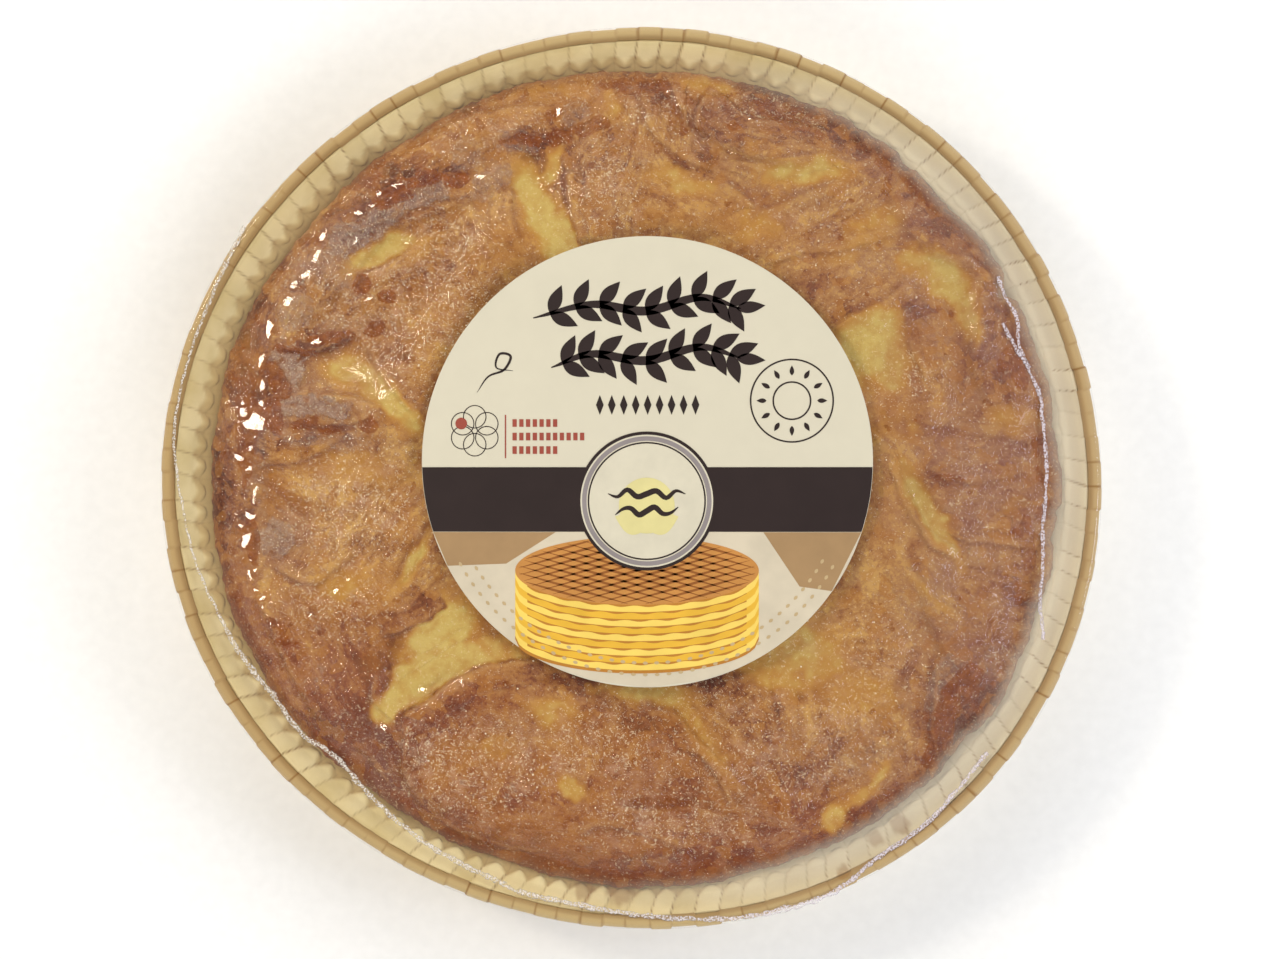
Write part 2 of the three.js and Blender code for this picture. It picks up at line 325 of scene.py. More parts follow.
# Edges of thin sheets that lie over their neighbours: the path, with the raised sheet on its
# left, the height of the step, and how dark the edge is, as baked brown and painted shade at the foot of
# the step
foldEdges = [
    ([(-51, -58), (-50, -53), (-44, -48), (-36, -43), (-30, -41), (-20, -40)], -1.5, 0.7),
    ([(-46, -75), (-50, -68), (-51, -60), (-50, -54)], -0.9, 0.35),
    ([(-46, -75), (-40, -79), (-30, -83), (-16, -85)], 0.8, 0.3),
    ([(-15, 73), (-14, 66), (-13, 58), (-11, 51)], 1.3, 0.3),
    ([(-59, 30), (-58, 27), (-55, 22), (-52, 18), (-48, 14)], 1.0, 0.25),
    ([(-80, 29), (-72, 28), (-66, 30), (-60, 32)], 0.9, 0.5),
    ([(-78, 13), (-70, 12), (-62, 12), (-57, 14)], 0.6, 0.45),
    ([(-70, 19), (-62, 18.5), (-54, 16), (-47, 12)], -0.9, 0.2),
    ([(-70, 55), (-62, 55), (-52, 58), (-44, 62), (-36, 63)], 0.8, 0.45),
    ([(-64, 44), (-56, 47), (-49, 52), (-46, 57)], -0.8, 0.3),
    ([(-50, 76), (-40, 80), (-28, 83), (-16, 84)], -0.8, 0.3),
    ([(19, 88), (15.5, 84), (14.5, 80), (17, 75)], 1.2, 0.5),
    ([(19.5, 87.5), (27, 81), (36, 80), (46, 78)], -1.0, 0.4), ([(8, 91), (10, 86), (12, 80)], 0.9, 0.6),
    ([(2, 88), (3, 82), (6, 76), (12, 71), (20, 68)], 0.7, 0.35),
    ([(20, 71), (30, 70.5), (40, 72), (50, 71), (57, 73)], -0.8, 0.35),
    ([(21, 67), (26, 63), (29, 60)], -0.8, 0.45), ([(28, 59), (38, 63), (48, 67)], -0.5, 0.35),
    ([(60, 51), (66, 50.5), (74, 50), (80, 47), (82, 42)], -0.8, 0.3),
    ([(79, 41), (77.5, 38), (77, 33), (76, 27)], 0.9, 0.2),
    ([(45, 33), (50, 36.5), (57, 40), (62, 44)], -1.1, 0.15), ([(62, 31), (64, 26), (66, 21)], 0.8, 0.2),
    ([(54, 11), (58, 7), (61, 1), (64, -6), (68, -12), (75, -17)], -1.0, 0.2),
    ([(57, 4), (60, -2), (63, -9), (67, -15), (74, -19)], 0.8, 0.3),
    ([(62, -15), (64, -21), (68, -26), (76, -30.5)], -0.7, 0.3),
    ([(70, -11), (74, -14), (82, -15), (92, -16)], 0.6, 0.4),
    ([(63, 13), (72, 11), (82, 9), (93, 8)], 0.4, 0.05), ([(66, 2), (72, -1), (80, -1), (90, 1)], 0.5, 0.2),
    ([(68, -40), (68, -48), (67, -56), (69, -64)], 0.9, 0.6),
    ([(8, -50), (14, -56), (20, -62), (28, -70)], -0.9, 0.3),
    ([(12, -60), (17, -63), (21, -69), (22, -74)], 0.7, 0.35),
    ([(-4, -72), (4, -74), (14, -73), (22, -76)], -0.8, 0.55),
    ([(-12, -80), (-6, -78), (4, -80), (14, -84)], 0.7, 0.3),
    ([(-86, 0), (-80, -2), (-76, -6), (-72, -10)], -0.8, 0.5),
    ([(-84, 3), (-76, 3), (-70, 5), (-64, 9)], 0.6, 0.3),
    ([(-80, -20), (-72, -24), (-67, -22), (-60, -16)], 0.8, 0.35),
    ([(-84, -26), (-80, -36), (-75, -46), (-68, -56)], 0.9, 0.3),
    ([(-52, -24), (-48, -20), (-46, -13)], -0.8, 0.3),
    ([(-56, -36), (-50, -34), (-45, -32), (-40, -28)], 1.2, 0.35),
    ([(-58, -44), (-57, -50), (-52, -55)], 1.0, 0.4), ([(-62, -60), (-58, -64), (-54, -70)], 0.6, 0.5),
    ([(30, 47), (40, 50), (50, 51), (60, 55)], 0.6, 0.3),
    ([(-30, 70), (-26, 66), (-26, 58), (-24, 52)], -0.9, 0.25),
]

# Strands where thin leaves of dough lie side by side: place as for a flap, heading of the
# strands, distance between them and their height
strands = [
    (7, 79, 9, 11, 0, 84, 1.9, 0.42), (-4, 72, 9, 14, 20, 62, 2.3, 0.3), (80, -2, 17, 17, 0, 2, 2.4, 0.42),
    (83, -24, 12, 9, 0, -12, 2.2, 0.36), (66, -3, 14, 5, -58, -58, 1.7, 0.32),
    (70, -26, 11, 5, -38, -34, 1.5, 0.42), (84, 28, 8, 12, 10, 100, 2.6, 0.3),
    (56, 60, 18, 9, 28, 26, 2.6, 0.3), (32, 76, 16, 7, -8, -8, 2.4, 0.3),
    (60, 50, 16, 5, -10, -12, 2.2, 0.28), (45, 28, 14, 6, 62, 40, 2.3, 0.24),
    (12, 66, 10, 5, -22, -20, 1.7, 0.34), (-52, 51, 12, 4, 24, 24, 1.5, 0.22),
    (-60, -14, 14, 8, 42, 44, 2.1, 0.26), (-48, -18, 9, 6, 62, 58, 1.6, 0.32),
    (-70, -42, 10, 14, 30, 112, 2.8, 0.26), (-78, 2, 12, 5, -35, -34, 2.0, 0.34),
    (15, -56, 16, 6, -40, -42, 2.1, 0.3), (10, -78, 22, 7, 0, 3, 2.3, 0.34),
    (44, -78, 14, 5, 28, 28, 2.0, 0.32), (-20, -80, 24, 6, -8, -8, 2.3, 0.32),
    (72, -56, 7, 16, -28, 62, 2.4, 0.34), (-50, 70, 16, 6, 36, 34, 2.0, 0.32),
    (-74, 42, 8, 14, -25, 62, 2.6, 0.26), (70, 66, 14, 6, -48, -46, 2.2, 0.32),
    (-30, 80, 22, 5, 18, 17, 1.8, 0.26),
]


def flapHeight(flap):
    x, y, _, _, _, lift, faces = flap
    share = withinEllipse(flap, 0.5)
    direction = np.arctan2(gridY - y, gridX - x)
    free = smoothstep(-0.6, 0.7, np.cos(direction - math.radians(faces)))
    return lift * (1 - smoothstep(0.9, 1.1, share)) * (0.25 + 0.75 * free * smoothstep(0, 0.9, share))


def strandHeight(strand):
    heading, apart, height = strand[5:]
    c, s = cosineAndSine(heading)
    x, y = gridX + 1.6 * warpX, gridY + 1.6 * warpY
    along, across = x * c + y * s, y * c - x * s
    ridge = 1 - np.abs(noise(along / 5, across, apart, 71)) * 2
    fine = 1 - np.abs(noise(along / 4, across, apart * 0.45, 72)) * 2
    here = 1 - smoothstep(0.55, 1.15, withinEllipse(strand, 1.2))
    return height * here * (ridge + 0.4 * fine)


foldPlaces = [alongPath(path, 10) for path, _, _ in foldEdges]


def nearestFold():
    # how far each place is from the nearest free edge, less than 0 off the raised sheet, and how
    # dark that edge is, as baked brown and painted shade at the foot of the step
    fromEdge = np.full(gridX.shape, 6.0)
    darkness = np.zeros(gridX.shape)
    for (_, step, dark), (side, share, here) in zip(foldEdges, foldPlaces):
        fade = smoothstep(0, 0.12, share) * (1 - smoothstep(0.88, 1, share))
        side = side * np.sign(step)
        closer = np.abs(side) < np.abs(fromEdge[here])
        fromEdge[here] = np.where(closer, side, fromEdge[here])
        darkness[here] = np.where(closer, (0.25 + dark) * fade, darkness[here])
    return fromEdge, darkness


def flowOfLeaves():
    # the way the leaves of dough run at each place, as the cosine and sine of twice the heading
    cosine = 0.5 * noise(gridX, gridY, 26, 141)
    sine = 0.5 * noise(gridX, gridY, 26, 142)
    for strand in strands:
        share = 1.6 * (1 - smoothstep(0.5, 1.35, withinEllipse(strand, 1.2)))
        c, s = cosineAndSine(2 * strand[5])
        cosine += share * c
        sine += share * s
    for side, _, here in foldPlaces:
        acrossY, acrossX = np.gradient(side)
        share = 1.3 * np.exp(-((side / 3.5) ** 2)) * (np.hypot(acrossX, acrossY) > 0.1)
        turn = 2 * (np.arctan2(acrossY, acrossX) + np.pi / 2)
        cosine[here] += share * np.cos(turn)
        sine[here] += share * np.sin(turn)
    heading = 0.5 * np.arctan2(blurGrid(sine, 1.2), blurGrid(cosine, 1.2))
    return np.cos(heading), np.sin(heading)


def streaksAlong(flowX, flowY, size, seed, steps=9, stride=0.55):
    # noise drawn out along the leaves
    speck = noise(gridX, gridY, size, seed) + 0.6 * noise(gridX, gridY, size * 0.5, seed + 1)
    total = speck.copy()
    for sign in (1, -1):
        x, y = gridX.copy(), gridY.copy()
        wayX, wayY = sign * flowX, sign * flowY
        for _ in range(steps):
            x, y = x + stride * wayX, y + stride * wayY
            nextX, nextY = readGrid(flowX, x, y), readGrid(flowY, x, y)
            same = np.sign(nextX * wayX + nextY * wayY)
            wayX, wayY = nextX * same, nextY * same
            total += readGrid(speck, x, y)
    return total / np.sqrt(2 * steps + 1)


def shapeOfTop():
    fromMiddle = np.hypot(gridX - middleX, gridY - middleY)
    crown = topping["crownHeight"] - topping["crownDrop"] * (fromMiddle / topping["shoulderRadius"]) ** 2
    relief = np.zeros_like(gridX)
    for height, length, heading, phase in swells:
        c, s = cosineAndSine(heading)
        relief += height * np.sin(2 * np.pi * (gridX * c + gridY * s) / length + phase)
    relief += np.max([flapHeight(flap) for flap in flaps], axis=0)
    relief -= np.max([h[5] * (1 - smoothstep(0.45, 1.15, withinEllipse(h, 0.7))) for h in hollows], axis=0)
    edgeDark = np.zeros_like(gridX)
    edgeLight = np.zeros_like(gridX)
    for (_, step, dark), (side, share, here) in zip(foldEdges, foldPlaces):
        side = side * np.sign(step)
        fade = smoothstep(0, 0.12, share) * (1 - smoothstep(0.88, 1, share))
        raised = smoothstep(-0.35, 0.45, side) * np.exp(-np.maximum(side, 0) / 4.5)
        relief[here] += abs(step) * fade * raised * 0.75
        edgeDark[here] = np.maximum(edgeDark[here], dark * fade * np.exp(-((side + 0.5) / 0.9) ** 2))
        edgeLight[here] = np.maximum(edgeLight[here], fade * np.exp(-((side - 1.0) / 0.8) ** 2))
    leaves = np.sum([strandHeight(strand) for strand in strands], axis=0)
    # the pale hollows are smoother
    calm = np.max([1 - smoothstep(0.7, 1.2, withinEllipse(h, 0.7)) for h in hollows], axis=0)
    relief += 0.55 * leaves * (1 - 0.6 * calm)
    relief += 0.12 * leafStreaks * (1 - 0.7 * calm)
    relief += 0.2 * lumpy(5.5, 5) * (1 - 0.5 * calm)
    relief += 0.12 * lumpy(1.9, 6, 2) * (1 - 0.7 * calm)
    room = (topping["pressedHeight"] - crown - relief) / topping["pressing"]
    top = topping["pressedHeight"] - topping["pressing"] * np.logaddexp(0, room)
    return top, leaves, edgeDark, edgeLight


flowX, flowY = flowOfLeaves()
leafStreaks = streaksAlong(flowX, flowY, 1.15, 151)
wideStreaks = streaksAlong(flowX, flowY, 2.6, 153, 9, 1.2)
topHeight, leafRelief, edgeDark, edgeLight = shapeOfTop()
foldDistance, foldDarkness = nearestFold()
print("shape of the top done")


# How the top baked: each spot is x, y, half length, half width, turn and strength.

paleDough = [
    (-20, 60, 10, 3.8, 112, 0.95), (-16, 54, 6, 4.6, 100, 0.9), (-17, 70, 4.5, 2.2, 70, 0.6),
    (-55.5, 50.5, 8.5, 2.8, 26, 0.85), (-64, 24.5, 5.6, 3.6, -12, 0.6), (-51, 15, 8, 2.6, -40, 0.7),
    (-57.5, 21.5, 5.4, 3.4, -35, 0.62), (-48, -18.5, 6.5, 2.0, 62, 0.7), (-64, -24, 6, 3.0, 5, 0.4),
    (-42.3, -36, 9.5, 5.8, 52, 1.0), (-49.4, -46.5, 8, 3.4, 50, 1.0), (-43.5, -39, 7.5, 4.4, 50, 0.95),
    (-40.5, -30, 4.5, 4, 30, 0.8), (-41, -42, 7.5, 4.2, 28, 1.0), (-36, -40.5, 6, 3.6, 15, 0.8),
    (-53, -51.5, 4.5, 2.6, 40, 0.9), (-29, -38, 7, 3, -20, 0.5), (12, 66, 8.5, 2.8, -22, 0.45),
    (39, 68, 9.5, 3.2, 6, 0.65), (29, 56, 5.5, 3.2, -20, 0.35), (55, 57.5, 8, 2.6, 25, 0.4),
    (71, 44.5, 7.5, 4.2, -52, 0.75), (66, 47.6, 6, 2.6, -15, 0.6), (75.5, 37, 3.2, 7.5, 8, 0.6),
    (53, 29, 9, 6.4, 50, 0.85), (58, 25, 6, 5, 60, 0.6), (51, 35, 4, 2.2, 28, 0.45),
    (67, -8, 12, 2.3, -58, 0.75), (61, 2, 5, 1.8, -58, 0.4), (86, 13, 6, 2.6, 5, 0.35),
    (38, -38, 12, 6.5, -28, 0.55), (52, -48, 9, 5, -10, 0.35), (4, -48, 10, 2.6, -6, 0.6),
    (15, -55, 11, 2.6, -52, 0.4), (-17, -52, 5.5, 3.5, 10, 0.45), (-13, -69, 4, 2.2, -50, 0.6),
    (46, -75.4, 3.4, 2.4, 70, 0.55), (51, -71.4, 4, 1.6, 42, 0.5), (56, -66.6, 4.6, 1.4, 55, 0.6),
    (68, -27, 6, 1.4, -40, 0.4), (-60, 2, 9, 4, -10, 0.3), (-30, -60, 6, 3, 0, 0.25),
    (88, -6, 5, 1.6, 10, 0.2), (60, 12, 10, 4, -14, 0.2), (-46, 52, 6, 3, 30, 0.3),
    (-33, -41, 7, 4, 10, 0.5), (32, -43, 9, 4, -20, 0.45), (50, 51, 10, 3, 25, 0.3),
    (-20, 86.5, 12, 2.2, 8, 0.25), (18, 87.5, 7, 2, -15, 0.4), (-3, 83, 1.6, 5, 5, 0.4),
]
bakedMore = [
    (-57, 61, 12, 4.5, 30, 0.3), (-46, 66, 10, 4, 20, 0.4), (-24, 76, 13, 3.5, 10, 0.3),
    (-84, 20, 5, 26, 0, 0.3), (-56, -60, 8, 10, 30, 0.42), (-67, -50, 6, 9, 30, 0.3),
    (-88, -20, 4, 20, 6, 0.2), (5, 86, 13, 5, 0, 0.3), (38, 82, 17, 4, -20, 0.42),
    (70, 63, 17, 4.5, -45, 0.36), (73, -50, 7, 14, -25, 0.45), (50, -80, 17, 4, 30, 0.4),
    (10, -73, 11, 4, 0, 0.42), (15, -88, 24, 5, 0, 0.55), (-10, -84, 26, 4, -5, 0.25),
    (71, 0, 8, 2.6, -5, 0.36), (74, -11, 5, 4, -30, 0.25), (72, 54, 8, 3.5, -20, 0.3),
    (66, 37, 9, 6, 0, 0.22), (50, 37, 7, 2.0, 25, 0.3), (24, -45, 12, 3.5, 10, 0.32),
    (-50, -57, 6, 5, 0, 0.25), (-50, 68, 12, 5, 22, 0.3), (-45, 68, 9, 7, 20, 0.14),
    (-70, 46, 5, 4, 0, 0.12), (20, -62, 8, 5, 0, 0.14), (34, -68, 9, 5, 0, 0.16), (10, -78, 14, 4, 0, 0.12),
    (38, -80, 10, 4, 0, 0.14), (82, -28, 5, 8, 0, 0.16), (60, -45, 5, 7, 0, 0.1),
    (-8, -44, 12, 4, -10, 0.3), (63, 12, 8, 3, -5, 0.3), (86, 24, 5, 9, 10, 0.3), (88, -20, 4, 14, 8, 0.25),
    (-12, 80, 16, 3, 5, 0.22), (46, 54, 9, 4, 25, 0.22), (16, 74, 10, 5, 0, 0.18),
    (-36, -80, 22, 4, -14, 0.3), (-75, -36, 8, 6, -60, 0.15), (22, 78, 9, 6, -10, 0.12),
    (-70, 30, 12, 3, 5, 0.25), (-8, 76, 16, 9, 0, 0.16), (6, 60, 18, 6, 0, 0.14), (34, -72, 10, 8, 0, 0.2),
    (8, -62, 10, 8, 0, 0.28), (-30, -74, 9, 6, 0, 0.16), (-52, 33, 8, 8, 0, 0.1), (-44, 73, 8, 4, 25, 0.2),
    (-58, -50, 5, 6, 0, 0.15), (-24, 80, 20, 4, 12, 0.22), (-47, 42, 6, 12, 0, 0.12),
    (-54, -8, 6, 8, 0, 0.14), (-46, -29, 5, 6, 0, 0.2), (-12, -53, 8, 4, 0, 0.2), (14, -76, 16, 6, 0, 0.12),
    (58, -34, 6, 6, 0, 0.14), (68, 22, 5, 5, 0, 0.16), (-25, 84, 20, 4, 13, 0.14),
    (-24, -80, 14, 6, -8, 0.12), (71, -61, 4, 6, -40, 0.2), (-92, -2, 3, 16, 0, 0.25),
    (-60, 70, 9, 3, 42, 0.12), (-57, -46, 3.5, 7, 38, 0.3), (-52, -34, 3, 5, 35, 0.28),
    (-53, 27, 6, 5, 0, 0.22), (-33, -76, 9, 3, -10, 0.25), (-28, 81, 18, 4, 15, 0.12),
    (12, -77, 9, 5, 0, 0.16), (32, -76, 9, 4, 20, 0.16), (-3, 82, 8, 5, 0, 0.14), (-44, 71, 5, 4, 0, 0.16),
    (79, 27, 6, 10, 8, 0.24), (73, 53, 8, 4, -25, 0.2), (62, 37.5, 7, 3.4, -25, 0.22),
    (84, 2, 5, 3, 0, 0.2),
]
bakedLess = [
    (-45, 34, 19, 13, 25, 0.16), (-62, -4, 13, 10, 0, 0.18), (-34, -64, 14, 7, 0, 0.16),
    (-18, -56, 15, 7, 0, 0.22), (33, -34, 18, 9, -22, 0.3), (54, -50, 12, 8, 0, 0.18),
    (20, 57, 12, 4, -10, 0.2), (70, 25, 6, 10, 0, 0.18), (60, -22, 8, 13, 25, 0.2),
    (24, -72, 18, 6, 0, 0.12), (0, -64, 12, 6, 0, 0.16), (-60, -22, 12, 7, 0, 0.2),
    (36, 58, 12, 5, 0, 0.12), (-40, 76, 20, 3.5, 20, 0.18), (-15, 87, 14, 3, 8, 0.05),
    (-2, 84, 8, 4, -40, 0.2), (-30, 57, 9, 5, 0, 0.12), (57, 2, 5, 14, 15, 0.2), (-49, 5, 5, 14, 0, 0.2),
    (68, -34, 9, 8, 0, 0.14), (62, 53, 12, 4, -10, 0.12), (72, 36, 6, 5, 0, 0.14),
    (-74, -12, 8, 10, 0, 0.2), (-24, 58, 6, 8, 20, 0.16), (-72, 58, 6, 5, 0, 0.16), (62, 25, 6, 6, 0, 0.14),
    (56, 48, 10, 5, 0, 0.16), (78, 45, 5, 5, 0, 0.2), (72, 34, 5, 5, 0, 0.14), (70, -12, 9, 8, -40, 0.18),
    (69, -29, 7, 8, -50, 0.18), (91, -16, 4, 7, 0, 0.2), (91, 20, 4, 7, 0, 0.2), (-77, -45, 5, 5, 0, 0.16),
    (-35, -62, 6, 5, 0, 0.14), (55, -68, 6, 4, 0, 0.2), (30, 66, 12, 5, 0, 0.1), (66, -17, 13, 3, -58, 0.2),
    (70, -30, 7, 4, -45, 0.2), (71, 30, 5, 6, 0, 0.14), (36, 50, 8, 4, 25, 0.18), (50, -33, 9, 5, 40, 0.14),
    (-42, 40, 4, 8, -30, 0.14), (-22, 56, 4, 6, 30, 0.2), (74, -32, 6, 4, -30, 0.12),
    (-70, 60, 10, 7, 40, 0.3), (-81, 32, 4, 8, 0, 0.3), (-84, 8, 4, 12, 0, 0.15),
    (-84, -24, 5, 12, 15, 0.3), (-62, 19, 10, 3, -5, 0.2), (-26, 63, 5, 7, 30, 0.2),
    (-38, -44, 4, 4, 0, 0.25), (-53, -54, 5, 4, 0, 0.2), (-72, -48, 8, 7, 45, 0.15),
    (72, 34, 5, 5, 0, 0.12), (68, -14, 12, 4, -35, 0.2), (50, -68, 10, 6, 30, 0.14),
]
caramelPools = [
    (-53, 63, 4.6, 2.6, 20, 1.0), (-46, 67, 5, 1.7, 5, 1.0), (-38, 66.5, 3.5, 1.6, 0, 1.0),
    (-24, 75.5, 5, 1.3, 0, 0.9), (-16, 76, 3.5, 1.8, 0, 0.8), (-8, 79, 4.5, 2, 10, 0.7),
    (-59, 43.5, 2.5, 2.1, 0, 1.0), (-54, 40.5, 2.6, 1.3, -10, 1.0), (-72, 12.3, 3, 1.4, 10, 1.0),
    (-67, 11.2, 3.4, 1.1, -5, 1.0), (-58, 12, 2.0, 2.2, 30, 0.8), (-57, 33.5, 3.4, 1.7, 30, 0.9),
    (-66, 31.6, 6, 1.1, 8, 0.9), (-76, 28.6, 4.5, 1.0, 0, 0.9), (-80, 14, 2.6, 4.5, 20, 0.9),
    (-79, 22, 2.4, 5, 20, 0.8), (-86, 12, 2.6, 13, 0, 0.6), (-84.5, -14, 1.8, 6, 5, 0.8),
    (-77, -37, 2.7, 1.1, 5, 1.0), (-79.5, -33, 2.2, 1.3, -20, 0.9), (-76, -5, 6.5, 2.0, -36, 0.45),
    (72, -50, 3, 9, -22, 0.8), (76, -44, 3.6, 3, 0, 0.7), (69, -60, 2.6, 6, -30, 0.8),
    (61, -72, 6, 1.6, 42, 0.8), (8, -73, 6.5, 1.8, -5, 0.7), (16, -88.5, 18, 2.2, 2, 0.6),
    (-8, -89, 10, 1.8, -3, 0.6), (36, -84, 9, 1.8, 18, 0.7), (34, 81, 7, 1.8, -24, 0.6),
    (71, 0, 3.5, 1.0, -5, 0.5), (89, -15, 1.6, 7, 5, 0.6), (87, 24, 2.0, 6, 12, 0.6),
    (11, 80, 1.6, 3, 0, 0.6), (3, 88, 8, 2, 0, 0.7), (-60, 69, 6, 2.6, 40, 0.6), (-60, -58, 3, 5, 30, 0.5),
    (-52, -64, 2, 6, 10, 0.5), (76, 56, 6, 2, -46, 0.5), (-70, -49, 3, 2, 40, 0.5),
    (66, 63, 8, 1.8, -44, 0.5), (12.5, 77.5, 1.8, 1.2, 0, 0.9), (29, -85, 5, 1.4, 10, 0.6),
    (-58, 67, 3, 1.4, 30, 0.8), (-47, 76, 6, 1, 24, 0.5),
]
coolBrown = [
    (80, -2, 19, 19, 0, 0.9), (84, 29, 8, 12, 10, 0.8), (76, -34, 12, 16, 30, 0.6),
    (66, -46, 10, 10, 0, 0.5), (44, 46, 14, 8, 30, 0.35), (62, 60, 18, 8, -40, 0.4),
    (28, 79, 16, 6, -8, 0.6), (6, 76, 8, 9, 0, 0.35), (72, 52, 8, 5, -25, 0.9), (79, 27, 7, 11, 8, 0.9),
    (-76, 25, 8, 7, 0, 0.6), (-66, 54, 10, 5, 40, 0.6), (-78, -14, 9, 8, 0, 0.5),
    (-88, -34, 4, 16, 10, 0.7), (-56, -66, 10, 6, -40, 0.7), (-70, 14, 13, 5, 0, 0.6),
    (40, -60, 18, 9, 0, 0.3), (61, 22, 5, 12, 10, 0.7), (57, -68, 9, 5, 40, 0.5),
    (47, -44, 13, 7, -20, 0.35), (-67, -46, 8, 8, 0, 0.4), (-54, 26, 7, 9, 0, 0.35),
    (26, 66, 20, 8, -5, 0.35), (-47, 64, 8, 4, 20, 0.3), (10, -80, 24, 6, 0, 0.3), (-6, 60, 7, 12, 0, 0.3),
]
# amber and clear, where butter has soaked through
butterSoaked = [
    (-36, 79, 22, 4.5, 19, 0.45), (-13, 86, 14, 4, 4, 0.45), (16, 88, 8, 3, -12, 0.7),
    (-79, -2, 9, 3.5, -38, 0.6), (-59, -25, 9, 6, 10, 0.6), (-70, 3, 12, 4, 8, 0.3),
    (-55, -38, 8, 4, 60, 0.3), (-30, -34, 7, 8, 30, 0.6), (36, -38, 16, 9, -28, 0.35),
    (20, -62, 12, 5, -48, 0.45), (3, -72, 10, 4, 0, 0.3), (-32, -60, 9, 6, 20, 0.3),
    (-46, 32, 14, 9, 20, 0.3), (-24, 53, 10, 6, 30, 0.4), (24, 58, 14, 5, -8, 0.35),
    (57, 22, 10, 8, 60, 0.35), (-60, 66, 12, 3, 42, 0.3), (-18, -80, 20, 5, -6, 0.35),
    (88, 13, 5, 3, 0, 0.4), (-86, 26, 3, 10, 0, 0.4), (-6, -60, 15, 8, 0, 0.25), (1, -74, 6, 4, 0, 0.35),
    (20, -73, 6, 6, 0, 0.4), (-40, -66, 9, 6, 0, 0.3), (-18, -86, 14, 3, -6, 0.25), (8, 79, 8, 5, 0, 0.2),
    (-70, -30, 6, 6, 0, 0.2), (56, -6, 6, 12, 15, 0.25), (-49, -8, 5, 12, 0, 0.3),
]
sugarySpots = [
    (-46, 36, 20, 14, 25, 1.0), (-36, -64, 22, 11, 0, 1.0), (30, -62, 26, 11, 5, 0.7),
    (54, -46, 15, 12, 0, 0.55), (-62, -6, 15, 13, 0, 1.0), (-8, -60, 16, 9, 0, 0.9),
    (-5, 64, 8, 12, 0, 0.8), (12, -76, 22, 8, 0, 0.8), (-66, -28, 12, 8, 0, 0.9), (8, 82, 14, 7, 0, 0.6),
    (36, -36, 14, 8, -20, 0.35), (-68, 42, 12, 12, 0, 0.7), (-30, 80, 26, 6, 18, 0.5),
    (46, 60, 20, 10, 20, 0.3), (80, 4, 14, 16, 0, 0.25), (-42, 54, 10, 7, 0, 0.9), (-58, -54, 8, 8, 0, 0.5),
    (60, 20, 10, 6, 0, 0.5), (63.5, 24, 2.5, 4, 20, 1.2), (20, -50, 18, 5, 0, 0.6),
    (-80, -36, 6, 10, 0, 0.4), (30, 84, 14, 4, -15, 0.8),
]
# where the film stands clear of the crust, and looks grey
standOff = [
    (-47, 63.5, 7, 2.6, 10, 0.75), (-55, 58, 7, 3.4, 28, 0.9), (-63, 53.5, 5, 4, 40, 0.9),
    (-25, 75, 4, 3, 0, 0.6), (-76.5, 25, 4.6, 4.6, 0, 1.0), (-71, 15.5, 9, 2.2, -4, 0.9),
    (-79, -14, 4, 4.6, 10, 0.8), (-37, 73, 4, 4, 60, 0.45), (-12, 82, 2.6, 3, 0, 0.5),
    (-75, 38, 4, 5, -20, 0.6), (-66, 46, 5, 4, 0, 0.4), (-62, 8, 18, 2, -8, 0.5), (70, -46, 3, 8, -20, 0.5),
    (83, -41, 5, 4, 0, 0.5), (-31, 66, 5, 3, 30, 0.5), (-61, 34, 8, 2, 10, 0.35), (-83, 2, 3, 8, 0, 0.3),
    (52, -63, 8, 2.5, 30, 0.3), (-74, 46, 3, 8, -40, 0.4), (6, -86, 8, 2, 0, 0.4), (-58, -57, 4, 3, 0, 0.3),
]


def spread(spots, soft=0.5, warp=1.5):
    # the strongest of the spots at each place, each fading from its middle out
    field = np.zeros_like(gridX)
    for spot in spots:
        share = withinEllipse(spot, warp)
        np.maximum(field, spot[5] * (1 - smoothstep(soft, 2 - soft, share)), out=field)
    return field


def islands(spots):
    # how far each place is inside the nearest spot, in millimetres, and the strength of that spot
    inside = np.full(gridX.shape, -4.0)
    strength = np.zeros(gridX.shape)
    for spot in spots:
        depth = (1 - withinEllipse(spot, 1.0)) * spot[3]
        closer = depth > inside
        inside = np.where(closer, depth, inside)
        strength = np.where(closer, spot[5], strength)
    return inside, strength


def strandedPlaces():
    inStrands = [1 - smoothstep(0.6, 1.2, withinEllipse(strand, 1.5)) for strand in strands]
    return np.max(inStrands, axis=0)


